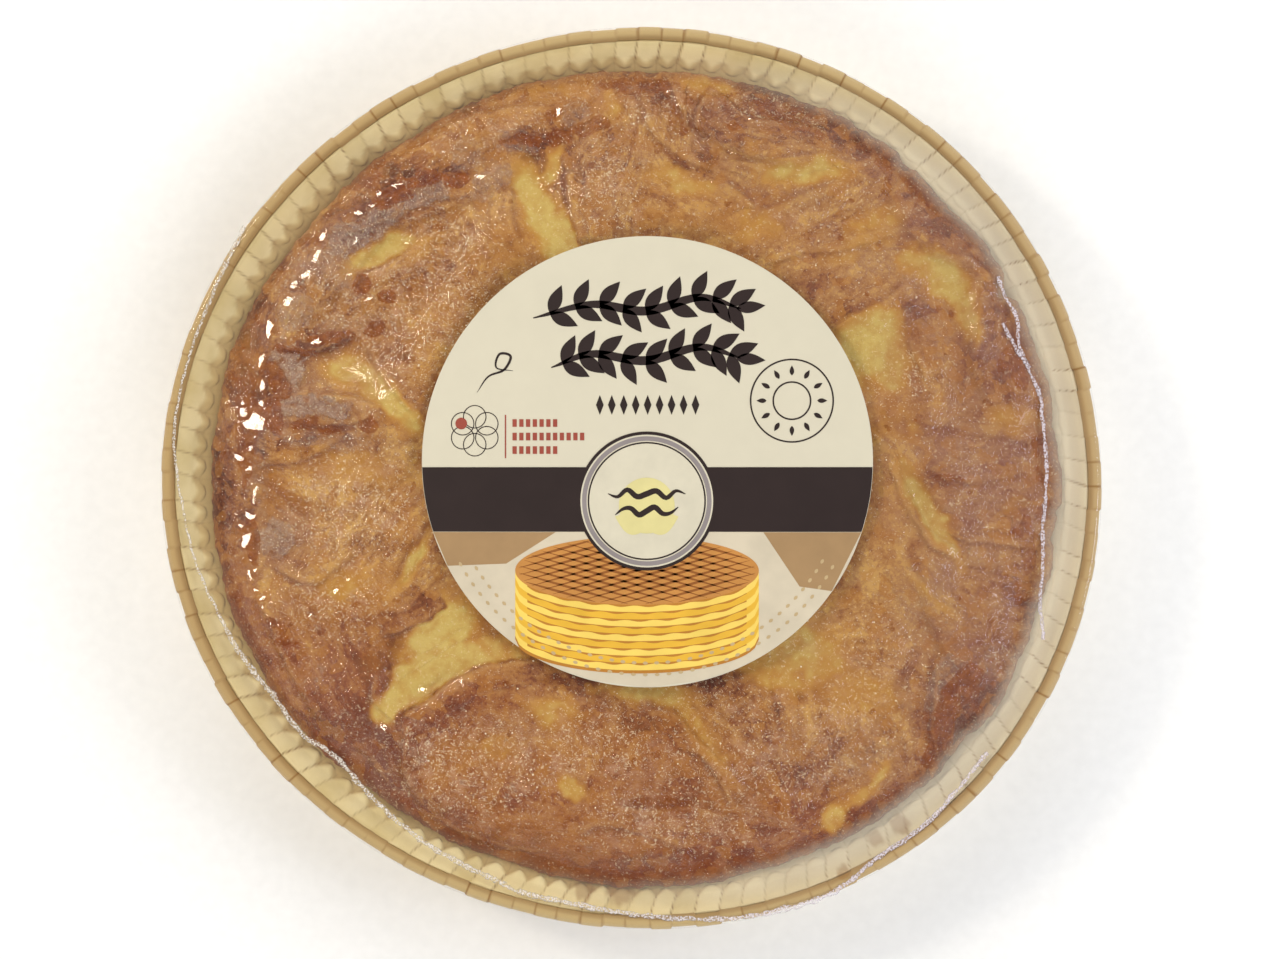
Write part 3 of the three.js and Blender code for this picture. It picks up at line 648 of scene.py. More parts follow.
def bakingFields():
    fromMiddle = np.hypot(gridX - middleX - 1, gridY - middleY)
    dough = spread(paleDough, 0.4, 2.2)
    dough = np.clip(dough * 1.25 + 0.25 * lumpy(3.2, 41) * (dough > 0), 0, 1)
    for (_, step, _), (side, share, here) in zip(foldEdges, foldPlaces):
        if abs(step) > 1.15:  # a thick sheet hides the dough under it
            covered = smoothstep(-0.5, 0.3, side * np.sign(step) + 0.8 * lumpy(3, 42)[here])
            covered = covered * smoothstep(0, 0.05, share) * (1 - smoothstep(0.95, 1, share))
            dough[here] *= 1 - 0.9 * covered * (1 - smoothstep(6, 9, np.abs(side)))
    baked = 0.47 + 0.12 * lumpy(17, 31) + 0.14 * lumpy(6.5, 32) + 0.12 * lumpy(2.2, 33)
    baked += 0.10 * leafStreaks + 0.12 * wideStreaks
    baked += spread(bakedMore, 0.35, 2.2) - spread(bakedLess, 0.35, 2.2)
    baked += 0.12 * smoothstep(82, 91, fromMiddle) - 0.03
    baked += 0.10 * smoothstep(0, -50, gridX) + 0.15 * smoothstep(-35, -70, gridY)
    # a dark line at each free edge, partly baked brown and partly painted shade at the foot of the step,
    # and a paler lip beside it
    baked += 0.3 * edgeDark - 0.12 * edgeLight
    baked -= 0.3 * np.clip(leafRelief, -0.5, 0.5)
    pool, poolStrength = islands(caramelPools)
    pool = pool + 0.9 * lumpy(4.2, 51)
    drips = 6 * (lumpy(5, 52) + 0.25 * smoothstep(76, 90, fromMiddle) - 0.5)
    dripping = (drips > pool) & (dough < 0.4)
    poolStrength = np.where(dripping, 0.6, poolStrength)
    pool = np.where(dripping, drips, pool)
    caramel = poolStrength * smoothstep(-0.3, 0.3, pool)
    cool = spread(coolBrown, 0.3, 2.0) + 0.3 * smoothstep(10, 80, gridX) * smoothstep(-70, 10, gridY)
    cool += 0.22 * smoothstep(45, 70, gridX)
    cool = np.clip(cool + 0.3 * lumpy(9, 61), 0, 1)
    sugar = np.clip(spread(sugarySpots, 0.3, 2.5) + 0.35 * lumpy(7, 71) + 0.12, 0, 1)
    sugar *= (1 - 0.75 * caramel) * (1 - 0.65 * dough)
    clear, clearStrength = islands(standOff)
    clear = clear + 2.2 * lumpy(5.5, 81, 5)
    bubbles = 6 * (lumpy(6, 82) - 0.5)
    bubbling = (bubbles > clear) & (dough < 0.4)
    clearStrength = np.where(bubbling, 0.4, clearStrength) * (1 - np.minimum(caramel * 1.4, 1))
    clear = np.where(bubbling, bubbles, clear)
    hazy = clearStrength * smoothstep(-0.3, 0.3, clear)
    return {
        "baked": np.clip(baked, 0, 1), "dough": dough, "caramel": caramel, "pool": pool,
        "poolStrength": poolStrength, "cool": cool, "sugar": np.maximum(sugar, 1.2 * hazy), "clear": clear,
        "clearStrength": clearStrength, "haze": hazy, "fold": foldDistance, "foldDark": foldDarkness,
        "flowCosine": flowX ** 2 - flowY ** 2, "flowSine": 2 * flowX * flowY,
        "stranded": 0.3 + 0.7 * strandedPlaces(),
        "buttery": np.clip(spread(butterSoaked, 0.3, 2.4) * (1 + 0.8 * lumpy(4, 95)), 0, 0.8),
        "ruddy": 0.32 * smoothstep(-35, -70, gridY + 0.35 * gridX + 8 * lumpy(12, 91)),
    }


baking = bakingFields()
print("baking fields done")


def newMaterial(name):
    # a material, what adds a node to it, and the coordinates of the piece that it is on
    material = bpy.data.materials.new(name)
    material.use_nodes = True
    material.node_tree.nodes.clear()
    add = partial(addNode, material.node_tree)
    return material, add, add("TexCoord").outputs["Object"]


crustColours = {
    "gold": "#cd9f56",
    "light": "#b3834c",
    "middle": "#9e6a39",
    "brown": "#7d4626",
    "ruddy": "#8f4526",
    "dark": "#552612",
    "paleDough": "#cdb264",
    "deepDough": "#c09a4b",
    "amber": "#b98338",  # butter-soaked dough round the pale patches
    "syrup": "#6a2f17",
    "thinSyrup": "#96521f",
    "cool": "#8a5c4a",
    "buttery": "#ae712b",
    # painted glints
    "glint": "#ecd6b0",
    "bloom": "#bd9070",  # pinkish patches over the brown
}
crustPattern = {
    "mottle": 3.2 * mm, "bloom": 4.5 * mm, "speckle": 0.8 * mm, "grain": 1.8 * mm, "fine": 0.75 * mm,
    "leafLength": 3.0 * mm, "leafWidth": 0.7 * mm, "leafHeadings": 6, "glintLines": 1.3 * mm,
}


def leavesAlong(add, place):
    # fine streaks that run with the leaves of dough, from noise drawn out along fixed headings, of
    # which those nearest to the heading at each place count
    cosine, sine = (
        add("Attribute", attribute_name=name).outputs["Fac"] for name in ("flowCosine", "flowSine")
    )
    total = 0.0
    for k in range(crustPattern["leafHeadings"]):
        heading = math.pi * k / crustPattern["leafHeadings"]
        drawn = add(
            "Mapping",
            {
                "Vector": place, "Rotation": (0, 0, heading),
                "Scale": (
                    crustPattern["leafLength"], crustPattern["leafWidth"], crustPattern["leafLength"],
                ),
            },
            vector_type="TEXTURE",
        )
        streak = add("TexNoise", {"Vector": drawn, "Scale": 1.0, "Detail": 2.0, "Roughness": 0.6})
        streak = add("Math", [streak, 0.5], "SUBTRACT")
        match = add("Math", [cosine, 2 * math.cos(2 * heading), -1.0], "MULTIPLY_ADD")
        match = add("Math", [sine, 2 * math.sin(2 * heading), match], "MULTIPLY_ADD", use_clamp=True)
        total = add("Math", [streak, match, total], "MULTIPLY_ADD")
    return total


crustFields = (
    "baked", "dough", "pool", "poolStrength", "cool", "sugar", "fold", "foldDark", "stranded", "ruddy",
    "buttery",
)


def bakedCrust():
    # laminated dough baked in butter and sugar: gold to dark brown, mottled at every scale, with
    # pale, hardly baked dough in the dips and wet syrup over the darkest parts
    material, add, place = newMaterial("bakedCrust")
    hue = {name: toLinear(colour) for name, colour in crustColours.items()}
    baked, dough, pool, poolStrength, cool, sugar, fold, foldDark, stranded, ruddy, soakedThrough = (
        add("Attribute", attribute_name=name).outputs["Fac"] for name in crustFields
    )
    mottle, speckle, grain, fine = (
        add(
            "TexNoise",
            {"Vector": place, "Scale": 1 / crustPattern[name], "Detail": detail, "Roughness": rough},
        )
        for name, detail, rough in (
            ("mottle", 5.0, 0.6), ("speckle", 3.0, 0.7), ("grain", 4.0, 0.6), ("fine", 2.0, 0.6),
        )
    )
    leaves = add("Math", [leavesAlong(add, place), stranded], "MULTIPLY")
    uneven = add("Math", [mottle, speckle], "ADD")
    uneven = add("Math", [uneven, 0.75, -0.75], "MULTIPLY_ADD")
    uneven = add("Math", [leaves, 0.75, uneven], "MULTIPLY_ADD")
    browning = add("Math", [baked, uneven], "ADD")
    # small flakes, each baked a little more or less than the next
    bend = add("TexNoise", {"Vector": place, "Scale": 1 / (4.0 * mm), "Detail": 3.0, "Roughness": 0.6})
    bend = add("VectorMath", [bend.outputs["Color"], (0.5, 0.5, 0.5)], "SUBTRACT")
    flakes = []
    for size, spread in ((6.5, 7.0), (2.6, 3.0)):
        bent = add("VectorMath", [bend, (spread * mm,) * 3, place], "MULTIPLY_ADD")
        cells = add("TexVoronoi", {"Vector": bent, "Scale": 1 / (size * mm)})
        flakes.append(add("SeparateColor", {"Color": cells.outputs["Color"]}).outputs)
    flake = add("Math", [flakes[0]["Red"], flakes[1]["Red"]], "ADD")
    flake = add("Math", [flake, 0.22, -0.22], "MULTIPLY_ADD")
    browning = add("Math", [browning, flake], "ADD")
    crust = add(
        "ValToRGB", {"Fac": browning},
        stops=[
            (0.06, hue["gold"]), (0.3, hue["light"]), (0.52, hue["middle"]), (0.75, hue["brown"]),
            (0.97, hue["dark"]),
        ],
    )
    coolness = add("Math", [flakes[0]["Green"], 0.6, 0.1], "MULTIPLY_ADD")
    coolness = add("Math", [cool, coolness], "MULTIPLY")
    crust = add("Mix", {0: ruddy, 6: crust, 7: hue["ruddy"]}, "RGBA")
    crust = add("Mix", {0: coolness, 6: crust, 7: hue["cool"]}, "RGBA")
    buttery = add(
        "MapRange", {"Value": flakes[1]["Green"], "From Min": 0.72, "From Max": 0.8, "To Max": 0.42},
    )
    buttery = add("Math", [buttery, soakedThrough], "MAXIMUM")
    crust = add("Mix", {0: buttery, 6: crust, 7: hue["buttery"]}, "RGBA")

    # free edges of the leaves: a ragged dark line where they end, partly baked brown and partly painted
    # shade at the foot of the step, and a paler lip beside it
    wander = add("Math", [mottle, 2.6, -1.3], "MULTIPLY_ADD")
    fromEdge = add("Math", [fold, wander], "ADD")
    for middle, reach, strength, tone in ((-0.4, 1.3, 0.5, "brown"), (0.8, 0.7, 0.5, "light")):
        away = add("Math", [fromEdge, middle], "SUBTRACT")
        away = add("Math", [away], "ABSOLUTE")
        line = add(
            "MapRange", {"Value": away, "From Max": reach, "To Min": strength, "To Max": 0.0}, "SMOOTHSTEP",
        )
        line = add("Math", [line, foldDark], "MULTIPLY")
        crust = add("Mix", {0: line, 6: crust, 7: hue[tone]}, "RGBA")

    # pale dough, browner towards its margin
    ragged = add("Math", [mottle, 0.7, -0.35], "MULTIPLY_ADD")
    doughShare = add("Math", [dough, ragged], "ADD")
    doughTone = add("ValToRGB", {"Fac": mottle}, stops=[(0.3, hue["deepDough"]), (0.58, hue["paleDough"])])
    for low, high, tone in ((0.05, 0.6, hue["amber"]), (0.35, 1.05, doughTone)):
        share = add(
            "MapRange", {"Value": doughShare, "From Min": low, "From Max": high, "To Max": 0.92},
            "SMOOTHSTEP",
        )
        crust = add("Mix", {0: share, 6: crust, 7: tone}, "RGBA")

    dulled = add("Math", [cool, 0.22], "MULTIPLY")
    crust = add("Mix", {0: dulled, 6: crust, 7: hue["cool"]}, "RGBA")

    # syrup, with a sharp but wandering edge
    syrupTone = add("ValToRGB", {"Fac": grain}, stops=[(0.35, hue["syrup"]), (0.68, hue["thinSyrup"])])
    wander = add("Math", [grain, 1.8, -0.9], "MULTIPLY_ADD")
    syrupEdge = add("Math", [pool, wander], "ADD")
    syrup = add("MapRange", {"Value": syrupEdge, "From Min": -0.14, "From Max": 0.14}, "SMOOTHSTEP")
    syrup = add("Math", [syrup, poolStrength], "MULTIPLY")
    syrupShare = add("Math", [syrup, 0.85], "MULTIPLY")
    crust = add("Mix", {0: syrupShare, 6: crust, 7: syrupTone}, "RGBA")

    # painted glints: short crooked cream lines, a third of a millimetre wide, and small cream dots, more of
    # them where there is sugar
    crooked = add(
        "TexNoise",
        {"Vector": place, "Scale": 1 / crustPattern["glintLines"], "Detail": 2.0, "Distortion": 1.0},
    )
    onLine = add("Math", [crooked, 0.51, 0.026], "COMPARE")
    breaks = add("Math", [sugar, -0.1, 0.6], "MULTIPLY_ADD")
    some = add("Math", [speckle, breaks], "GREATER_THAN")
    glintLines = add("Math", [onLine, some], "MULTIPLY")
    glintDots = add("Math", [fine, 0.665], "GREATER_THAN")
    glintLines = add("Math", [glintLines, glintDots], "MAXIMUM")
    glintShare = add("Math", [sugar, 0.3, 0.3], "MULTIPLY_ADD")
    glintShare = add("Math", [glintLines, glintShare], "MULTIPLY")
    clouds = add(
        "TexNoise", {"Vector": place, "Scale": 1 / crustPattern["bloom"], "Detail": 7.0, "Roughness": 0.72},
    )
    bloom = add("MapRange", {"Value": clouds, "From Min": 0.5, "From Max": 0.66, "To Max": 0.62})
    bloom = add("Math", [bloom, sugar], "MULTIPLY")
    crust = add("Mix", {0: bloom, 6: crust, 7: hue["bloom"]}, "RGBA")
    crust = add("Mix", {0: glintShare, 6: crust, 7: hue["glint"]}, "RGBA")

    step = add(
        "MapRange", {"Value": fromEdge, "From Min": -0.5, "From Max": 0.4, "To Max": 1.6}, "SMOOTHSTEP",
    )
    lumps = add("Math", [step, foldDark, speckle], "MULTIPLY_ADD")
    lumps = add("Math", [flake, 1.5, lumps], "MULTIPLY_ADD")
    bump = add("Bump", {"Strength": 0.6, "Distance": 0.4 * mm, "Height": lumps})
    gloss = add("MapRange", {"Value": syrup, "From Max": 0.7, "To Min": 0.5, "To Max": 0.18})
    shader = add(
        "BsdfPrincipled",
        {"Base Color": crust, "Roughness": gloss, "IOR": 1.45, "Specular IOR Level": 0.35, "Normal": bump},
    )
    add("OutputMaterial", {"Surface": shader})
    return material


filmLook = {
    "roughness": 0.05,
    "crinkleSize": 1.3 * mm,
    "crinkleDepth": 1.1 * mm,
    "blisterDepth": 0.35,  # in crinkle depths
    "milkiness": 0.5,
    "milk": "#a68c7c",  # where it stands clear of the crust
    "veilReflection": "#efe8d6",  # painted reflection over the gap beside the cake
}


def clearShrinkFilm():
    # polyolefin shrink film: clear and glossy, finely crinkled where it clings to the sugar, a
    # milky grey where it stands clear of the crust, and a painted pale reflection over the gap beside the
    # cake
    material, add, place = newMaterial("clearShrinkFilm")
    clear, clearStrength, crinkle, fold, foldDark, veilReflection = (
        add("Attribute", attribute_name=name).outputs["Fac"]
        for name in ("clear", "clearStrength", "crinkle", "fold", "foldDark", "veilReflection")
    )
    puckers = add(
        "TexNoise",
        {"Vector": place, "Scale": 1 / filmLook["crinkleSize"], "Detail": 1.5, "Roughness": 0.6},
    )
    wander = add("Math", [puckers, 1.6, -0.8], "MULTIPLY_ADD")
    edge = add("Math", [clear, wander], "ADD")
    haze = add("MapRange", {"Value": edge, "From Min": -0.15, "From Max": 0.35}, "SMOOTHSTEP")
    haze = add("Math", [haze, clearStrength], "MULTIPLY")
    creases = add("Math", [puckers, 0.5], "SUBTRACT")
    height = add("Math", [creases], "ABSOLUTE")
    height = add("Math", [height, crinkle], "MULTIPLY")
    height = add("Math", [haze, filmLook["blisterDepth"], height], "MULTIPLY_ADD")
    fromEdge = add("Math", [fold, wander], "ADD")
    step = add(
        "MapRange", {"Value": fromEdge, "From Min": -0.8, "From Max": 0.6, "To Max": 0.45}, "SMOOTHSTEP",
    )
    height = add("Math", [step, foldDark, height], "MULTIPLY_ADD")
    bump = add("Bump", {"Strength": 1.0, "Distance": filmLook["crinkleDepth"], "Height": height})
    # the same shine from either side: 4 % straight on, and most of it along the film
    grazing = add("LayerWeight", {"Blend": 0.5, "Normal": bump}).outputs["Facing"]
    grazing = add("Math", [grazing, 5.0], "POWER")
    shine = add("Math", [grazing, 0.6, 0.045], "MULTIPLY_ADD")
    through = add("BsdfTransparent")
    gloss = add("BsdfAnisotropic", {"Roughness": filmLook["roughness"], "Normal": bump})
    skin = add("MixShader", [shine, through, gloss])
    # the painted reflection takes a paler tone and adds to the milky share
    reflectionShare = add("Math", [veilReflection, 0.01], "GREATER_THAN")
    milkAndReflectionTone = add(
        "Mix", {0: reflectionShare, 6: toLinear(filmLook["milk"]), 7: toLinear(filmLook["veilReflection"])}, "RGBA",
    )
    milk = add("BsdfPrincipled", {"Base Color": milkAndReflectionTone, "Roughness": 0.35, "Normal": bump})
    patchy = add(
        "MapRange", {"Value": puckers, "From Min": 0.38, "From Max": 0.62, "To Min": 0.4, "To Max": 1.0},
    )
    milkiness = add("Math", [haze, patchy], "MULTIPLY")
    milkiness = add("Math", [milkiness, filmLook["milkiness"], veilReflection], "MULTIPLY_ADD")
    film = add("MixShader", [milkiness, skin, milk])
    add("OutputMaterial", {"Surface": film})
    return material


paperColours = {
    "paper": "#f0dda6",
    "shade": "#dcc68a",
    "rim": "#bfa471",
    # painted shade in the creases
    "creaseShadeTone": "#8a6231",
    "oil": "#9b6a2c",
    "footShade": "#b8975a",  # painted shade at the foot of the collar
    "cool": "#e6dcc4",  # in the paler light on the right
}


def greaseproofPaper():
    # pleated greaseproof baking paper: matt, fibrous, a little oily, browned along its rolled rim, with
    # painted shade in its creases, under the roll and at the foot of the collar, and painted paler light on
    # the right
    material, add, place = newMaterial("greaseproofPaper")
    hue = {name: toLinear(colour) for name, colour in paperColours.items()}
    clouds = add("TexNoise", {"Vector": place, "Scale": 1 / (9 * mm), "Detail": 5.0})
    fibres = add("TexNoise", {"Vector": place, "Scale": 1 / (0.9 * mm), "Detail": 4.0})
    segment = add("Attribute", attribute_name="segment").outputs["Fac"]
    clouds = add("Math", [segment, 0.25, clouds], "MULTIPLY_ADD")
    paper = add("ValToRGB", {"Fac": clouds}, stops=[(0.4, hue["shade"]), (0.75, hue["paper"])])
    for name, tone in (
        ("footShade", "footShade"), ("rolled", "rim"), ("lightOnTheRight", "cool"), ("creased", "creaseShadeTone"), ("oiled", "oil")
    ):
        share = add("Attribute", attribute_name=name).outputs["Fac"]
        paper = add("Mix", {0: share, 6: paper, 7: hue[tone]}, "RGBA")
    bump = add("Bump", {"Strength": 0.35, "Distance": 0.1 * mm, "Height": fibres})
    shader = add(
        "BsdfPrincipled",
        {"Base Color": paper, "Roughness": 0.62, "Specular IOR Level": 0.3, "Normal": bump},
    )
    add("OutputMaterial", {"Surface": shader})
    return material


def printedPaper(name, hexColour, patchy=0.04):
    # satin coated label paper with an even ink on it, a little fuller and thinner from place to place
    material, add, place = newMaterial(name)
    patches = add("TexNoise", {"Vector": place, "Scale": 1 / (6 * mm), "Detail": 6.0})
    ink = toLinear(hexColour)
    thin = tuple(c * (1 + patchy) for c in ink[:3]) + (1.0,)
    full = tuple(c * (1 - patchy) for c in ink[:3]) + (1.0,)
    colour = add("ValToRGB", {"Fac": patches}, stops=[(0.3, full), (0.75, thin)])
    shader = add("BsdfPrincipled", {"Base Color": colour, "Roughness": 0.45, "Specular IOR Level": 0.4})
    add("OutputMaterial", {"Surface": shader})
    return material


def weldedFilm():
    # the cut and melted edge of the film: many small bubbles that look white
    material, add, place = newMaterial("weldedFilmEdge")
    bubbles = add("TexNoise", {"Vector": place, "Scale": 1 / (0.42 * mm), "Detail": 4.0})
    colour = add(
        "ValToRGB", {"Fac": bubbles},
        stops=[(0.35, toLinear(seamColours["clear"])), (0.65, toLinear(seamColours["bubbles"]))],
    )
    across = add("SeparateXYZ", [place])
    onRight = add("MapRange", {"Value": across, "From Min": -0.03, "From Max": 0.05})
    colour = add("Mix", {0: onRight, 6: colour, 7: toLinear(seamColours["onRight"])}, "RGBA")
    thickness = add(
        "MapRange", {"Value": bubbles, "From Min": 0.44, "From Max": 0.57, "To Min": 0.08, "To Max": 0.8},
    )
    shader = add("BsdfPrincipled", {"Base Color": colour, "Roughness": 0.25, "Alpha": thickness})
    add("OutputMaterial", {"Surface": shader})
    return material


def sugarCrystal():
    # undissolved sugar: clear grains that look cream against the crust
    material, add, place = newMaterial("sugarCrystal")
    tint = add("TexNoise", {"Vector": place, "Scale": 1 / (2 * mm), "Detail": 2.0})
    colour = add(
        "ValToRGB", {"Fac": tint},
        stops=[(0.4, toLinear(sugarColours["shaded"])), (0.62, toLinear(sugarColours["lit"]))],
    )
    shader = add("BsdfPrincipled", {"Base Color": colour, "Roughness": 0.15, "IOR": 1.54})
    add("OutputMaterial", {"Surface": shader})
    return material


cakeDetail = {"around": 900, "ringStep": 0.5, "coveredRadius": 43.0}

# where the rim of the cake bulges or is notched: direction in degrees, depth, width in degrees
edgeShape = [
    (110, 0.9, 40), (260, 0.8, 35), (0, 0.9, 45), (203, 0.8, 12), (65, 0.5, 12), (26.6, -2.0, 1.3),
    (33, 1.3, 5), (49.6, -0.9, 1.2), (52.5, 0.9, 2.5), (-8, -1.2, 1.5), (-14, 0.6, 2.2), (-38, -0.8, 3),
    (-31, 0.8, 3), (96, 0.6, 3), (140, -0.7, 4), (170, -0.3, 6), (207, -0.5, 3), (250, -0.5, 6),
    (283, 0.5, 5), (-2, 0.7, 1.8), (7.4, -0.9, 0.9), (61, 0.5, 3), (-4.5, -0.7, 0.6), (2.6, -0.7, 0.6),
    (12, 0.5, 1.2),
]


def edgeOfCake(angle):
    ripples = 0.45 * np.sin(7 * angle + 0.6) + 0.4 * np.sin(
        13 * angle + 2.4,
    ) + 0.3 * np.sin(31 * angle + 1.1)
    reach = topping["edgeRadius"] - 0.5 + 0.6 * ripples
    x, y = 93 * np.cos(angle), 93 * np.sin(angle)
    reach = reach + 0.4 * roughNoise(x, y, 3.5, 91, 3) + 0.4 * noise(x, y, 1.7, 92)
    for heading, depth, width in edgeShape:
        away = (np.degrees(angle) - heading + 180) % 360 - 180
        reach = reach + depth * np.exp(-((away / width) ** 2))
    return np.minimum(reach, topping["edgeRadius"] + 1.0)


def makeCake():
    angle = np.linspace(0, 2 * np.pi, cakeDetail["around"] + 1)[:-1]
    top = casing["rimHeight"]
    shoulder, covered = topping["shoulderRadius"], cakeDetail["coveredRadius"]
    radii = [0.0, 10.0, 20.0, 30.0, 37.0] + list(np.arange(covered, shoulder, cakeDetail["ringStep"]))
    rings = []
    for radius in radii:
        x, y = onOval(angle, radius, top)
        rings.append(np.stack([x, y, readGrid(topHeight, x, y)], 1))
    edge = edgeOfCake(angle)
    for share in np.linspace(0, 1, 19):
        fall = share * np.pi / 2
        outward, upward = math.sin(fall) ** 0.9, math.cos(fall) ** 0.75
        radius = shoulder + (edge - shoulder) * outward
        x, y = onOval(angle, radius, topping["edgeHeight"] + 7 * upward)
        drop = readGrid(topHeight, x, y) - topping["edgeHeight"]
        rings.append(np.stack([x, y, topping["edgeHeight"] + drop * upward], 1))
    for share in np.linspace(0, 1, 7)[1:]:
        radius = edge - 1.9 * math.sin(math.pi * share) ** 0.3 + (topping["footRadius"] - edge) * share
        height = topping["edgeHeight"] + (topping["footHeight"] - topping["edgeHeight"]) * share
        radius = radius + 0.25 * noise(
            93 * np.cos(angle), 93 * np.sin(angle) + 40 * share, 6, 93,
        ) * (share < 1)
        rings.append(ringAt(angle, radius, height))
    rings.append(ringAt(angle, 0.0, topping["footHeight"]))
    points, quads = skinOfRings(np.array(rings))
    piece = makeMesh("layeredCake", points, quads, [bakedCrust()])
    for name in (*crustFields, "flowCosine", "flowSine"):
        setField(piece, name, readGrid(baking[name], points[:, 0], points[:, 1]))
    weldAndShade(piece)
    return piece


cake = makeCake()
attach(cake, "root")
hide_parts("cake")
print("cake done:", len(cake.data.polygons), "faces")


# The film is worked out on the same grid. It lies on the crust, stands off it in places, runs flat
# under the label, and sags a little between the cake's shoulder and the rim.
wrap = {
    "cling": 0.12,
    "standOff": 0.7,
    "bridging": 2.4,  # how wide a hollow of the crust it spans
    "slack": 0.3,
    "pastEdge": 0.2,
    "labelRest": 32.85,
    "settle": 24.0,  # how far from the label it takes to come down to the crust
    "trough": 27.6,
    "troughRadius": 90.5,
    "rimClearance": 0.2,
    "footHeight": 0.7,
    "footRadius": 91.6,
}
# Facets of film drawn taut, which catch the lamp: place, half length, half width and turn
tautFacets = [
    (-69.9, 50.6, 2.6, 1.0, 86), (-68.4, 54.8, 2.0, 1.0, 60), (-66, 57.2, 1.8, 1.0, 42),
    (-63.4, 58.9, 1.6, 1.0, 25), (-61, 59.7, 1.4, 0.9, 5), (-73, 45.4, 1.6, 0.9, 25),
    (-75.6, 43, 1.8, 1.0, 60), (-76.8, 39.8, 1.6, 1.2, 85), (-57.2, 61.2, 1.8, 0.8, 70),
    (-55, 64.6, 2.4, 0.8, 45), (-51.8, 65.8, 2.4, 0.7, 8), (-36.4, 75, 1.1, 0.9, 80),
    (-36.1, 78, 2.4, 0.6, 85), (-41, 73.4, 1.2, 0.7, 20), (-15.5, 82, 1.3, 1.1, 70),
    (-81, 33, 2.6, 1.0, 85), (-82.8, 26.2, 2.0, 0.75, 75), (-82.5, 21, 1.5, 0.9, 100),
    (-82.4, 16.6, 1.2, 0.75, 80), (-86.6, 16.8, 0.9, 0.75, 0), (-84.6, 12.7, 2.4, 2.2, -40),
    (-86.6, 14.6, 1.1, 1.0, 0), (-84, 9.2, 1.0, 0.8, 0), (-88.4, 4, 1.5, 1.0, 80),
    (-85.6, 1.4, 1.6, 1.0, 80), (-84.2, -3.4, 2.0, 0.9, 80), (-84.6, -8.3, 1.7, 1.4, 60),
    (-86.8, -11, 1.3, 1.0, 0), (-86, -14.2, 2.0, 1.3, 75), (-86.3, -18, 1.2, 0.9, 0),
    (-85, -21.4, 2.0, 1.1, 100), (-83.7, -25.4, 1.8, 1.0, 105), (-82.4, -29.4, 1.8, 0.9, 110),
    (-80.6, -33.4, 1.6, 0.8, 100), (-84.9, -18.6, 0.9, 0.75, 0), (-83.6, -20.8, 0.85, 0.75, 60),
    (-84.6, -23, 0.9, 0.75, 20), (-83, -23.4, 0.8, 0.75, 90), (-83.9, -27.4, 0.8, 0.7, 0),
    (-82.2, -27, 0.8, 0.75, 30), (-82.8, -31.6, 0.9, 0.7, 90), (-81, -30.8, 0.8, 0.7, 0),
    (-84.8, 6.6, 1.3, 0.7, 70), (-85.2, -1, 1.0, 0.7, 100), (-84, -5.6, 1.2, 0.7, 80),
    (-87.4, 4.4, 1.6, 0.8, -35), (-85.2, 2.2, 1.3, 0.8, 10), (-77, -38, 1.4, 0.6, 30),
    (-65.2, -25, 1.4, 1.1, 40), (-71.2, -30.8, 1.3, 0.8, 30), (-62.7, -22.6, 1.2, 0.9, 0),
    (-70, 30.5, 1.8, 0.8, 10), (-62, 45, 1.5, 0.9, 40), (-58, 40, 1.2, 0.8, 20),
    (-52.7, -43.5, 1.5, 0.8, 20), (-54.7, -55.8, 1.7, 0.9, 130), (-55.3, -68, 1.6, 1.0, 20),
    (-42, -36.6, 1.3, 0.7, 0), (-28.6, -78.8, 1.4, 0.8, 80), (27, 80, 1.3, 0.9, 0), (9, 86.5, 1.3, 0.9, 0),
    (-33, 67.5, 1.7, 0.8, 10), (-46, 60.5, 1.4, 0.8, 30), (-61, 53, 1.3, 0.8, 60),
    (-67.5, 38.5, 1.3, 0.7, 50), (-75.6, 8.4, 1.3, 0.7, 60), (58, 71.6, 0.9, 0.8, 0),
    (58.8, 65, 1.7, 0.7, 110), (60, 62.4, 1.0, 0.7, 120), (77, 54, 1.1, 0.7, 20), (93.6, 14, 1.1, 0.8, 80),
    (94.4, 10, 0.9, 0.7, 60), (93.8, 4.6, 0.9, 0.7, 0), (63, 26, 1.0, 0.7, 110), (64.6, 22.6, 1.2, 0.7, 70),
]


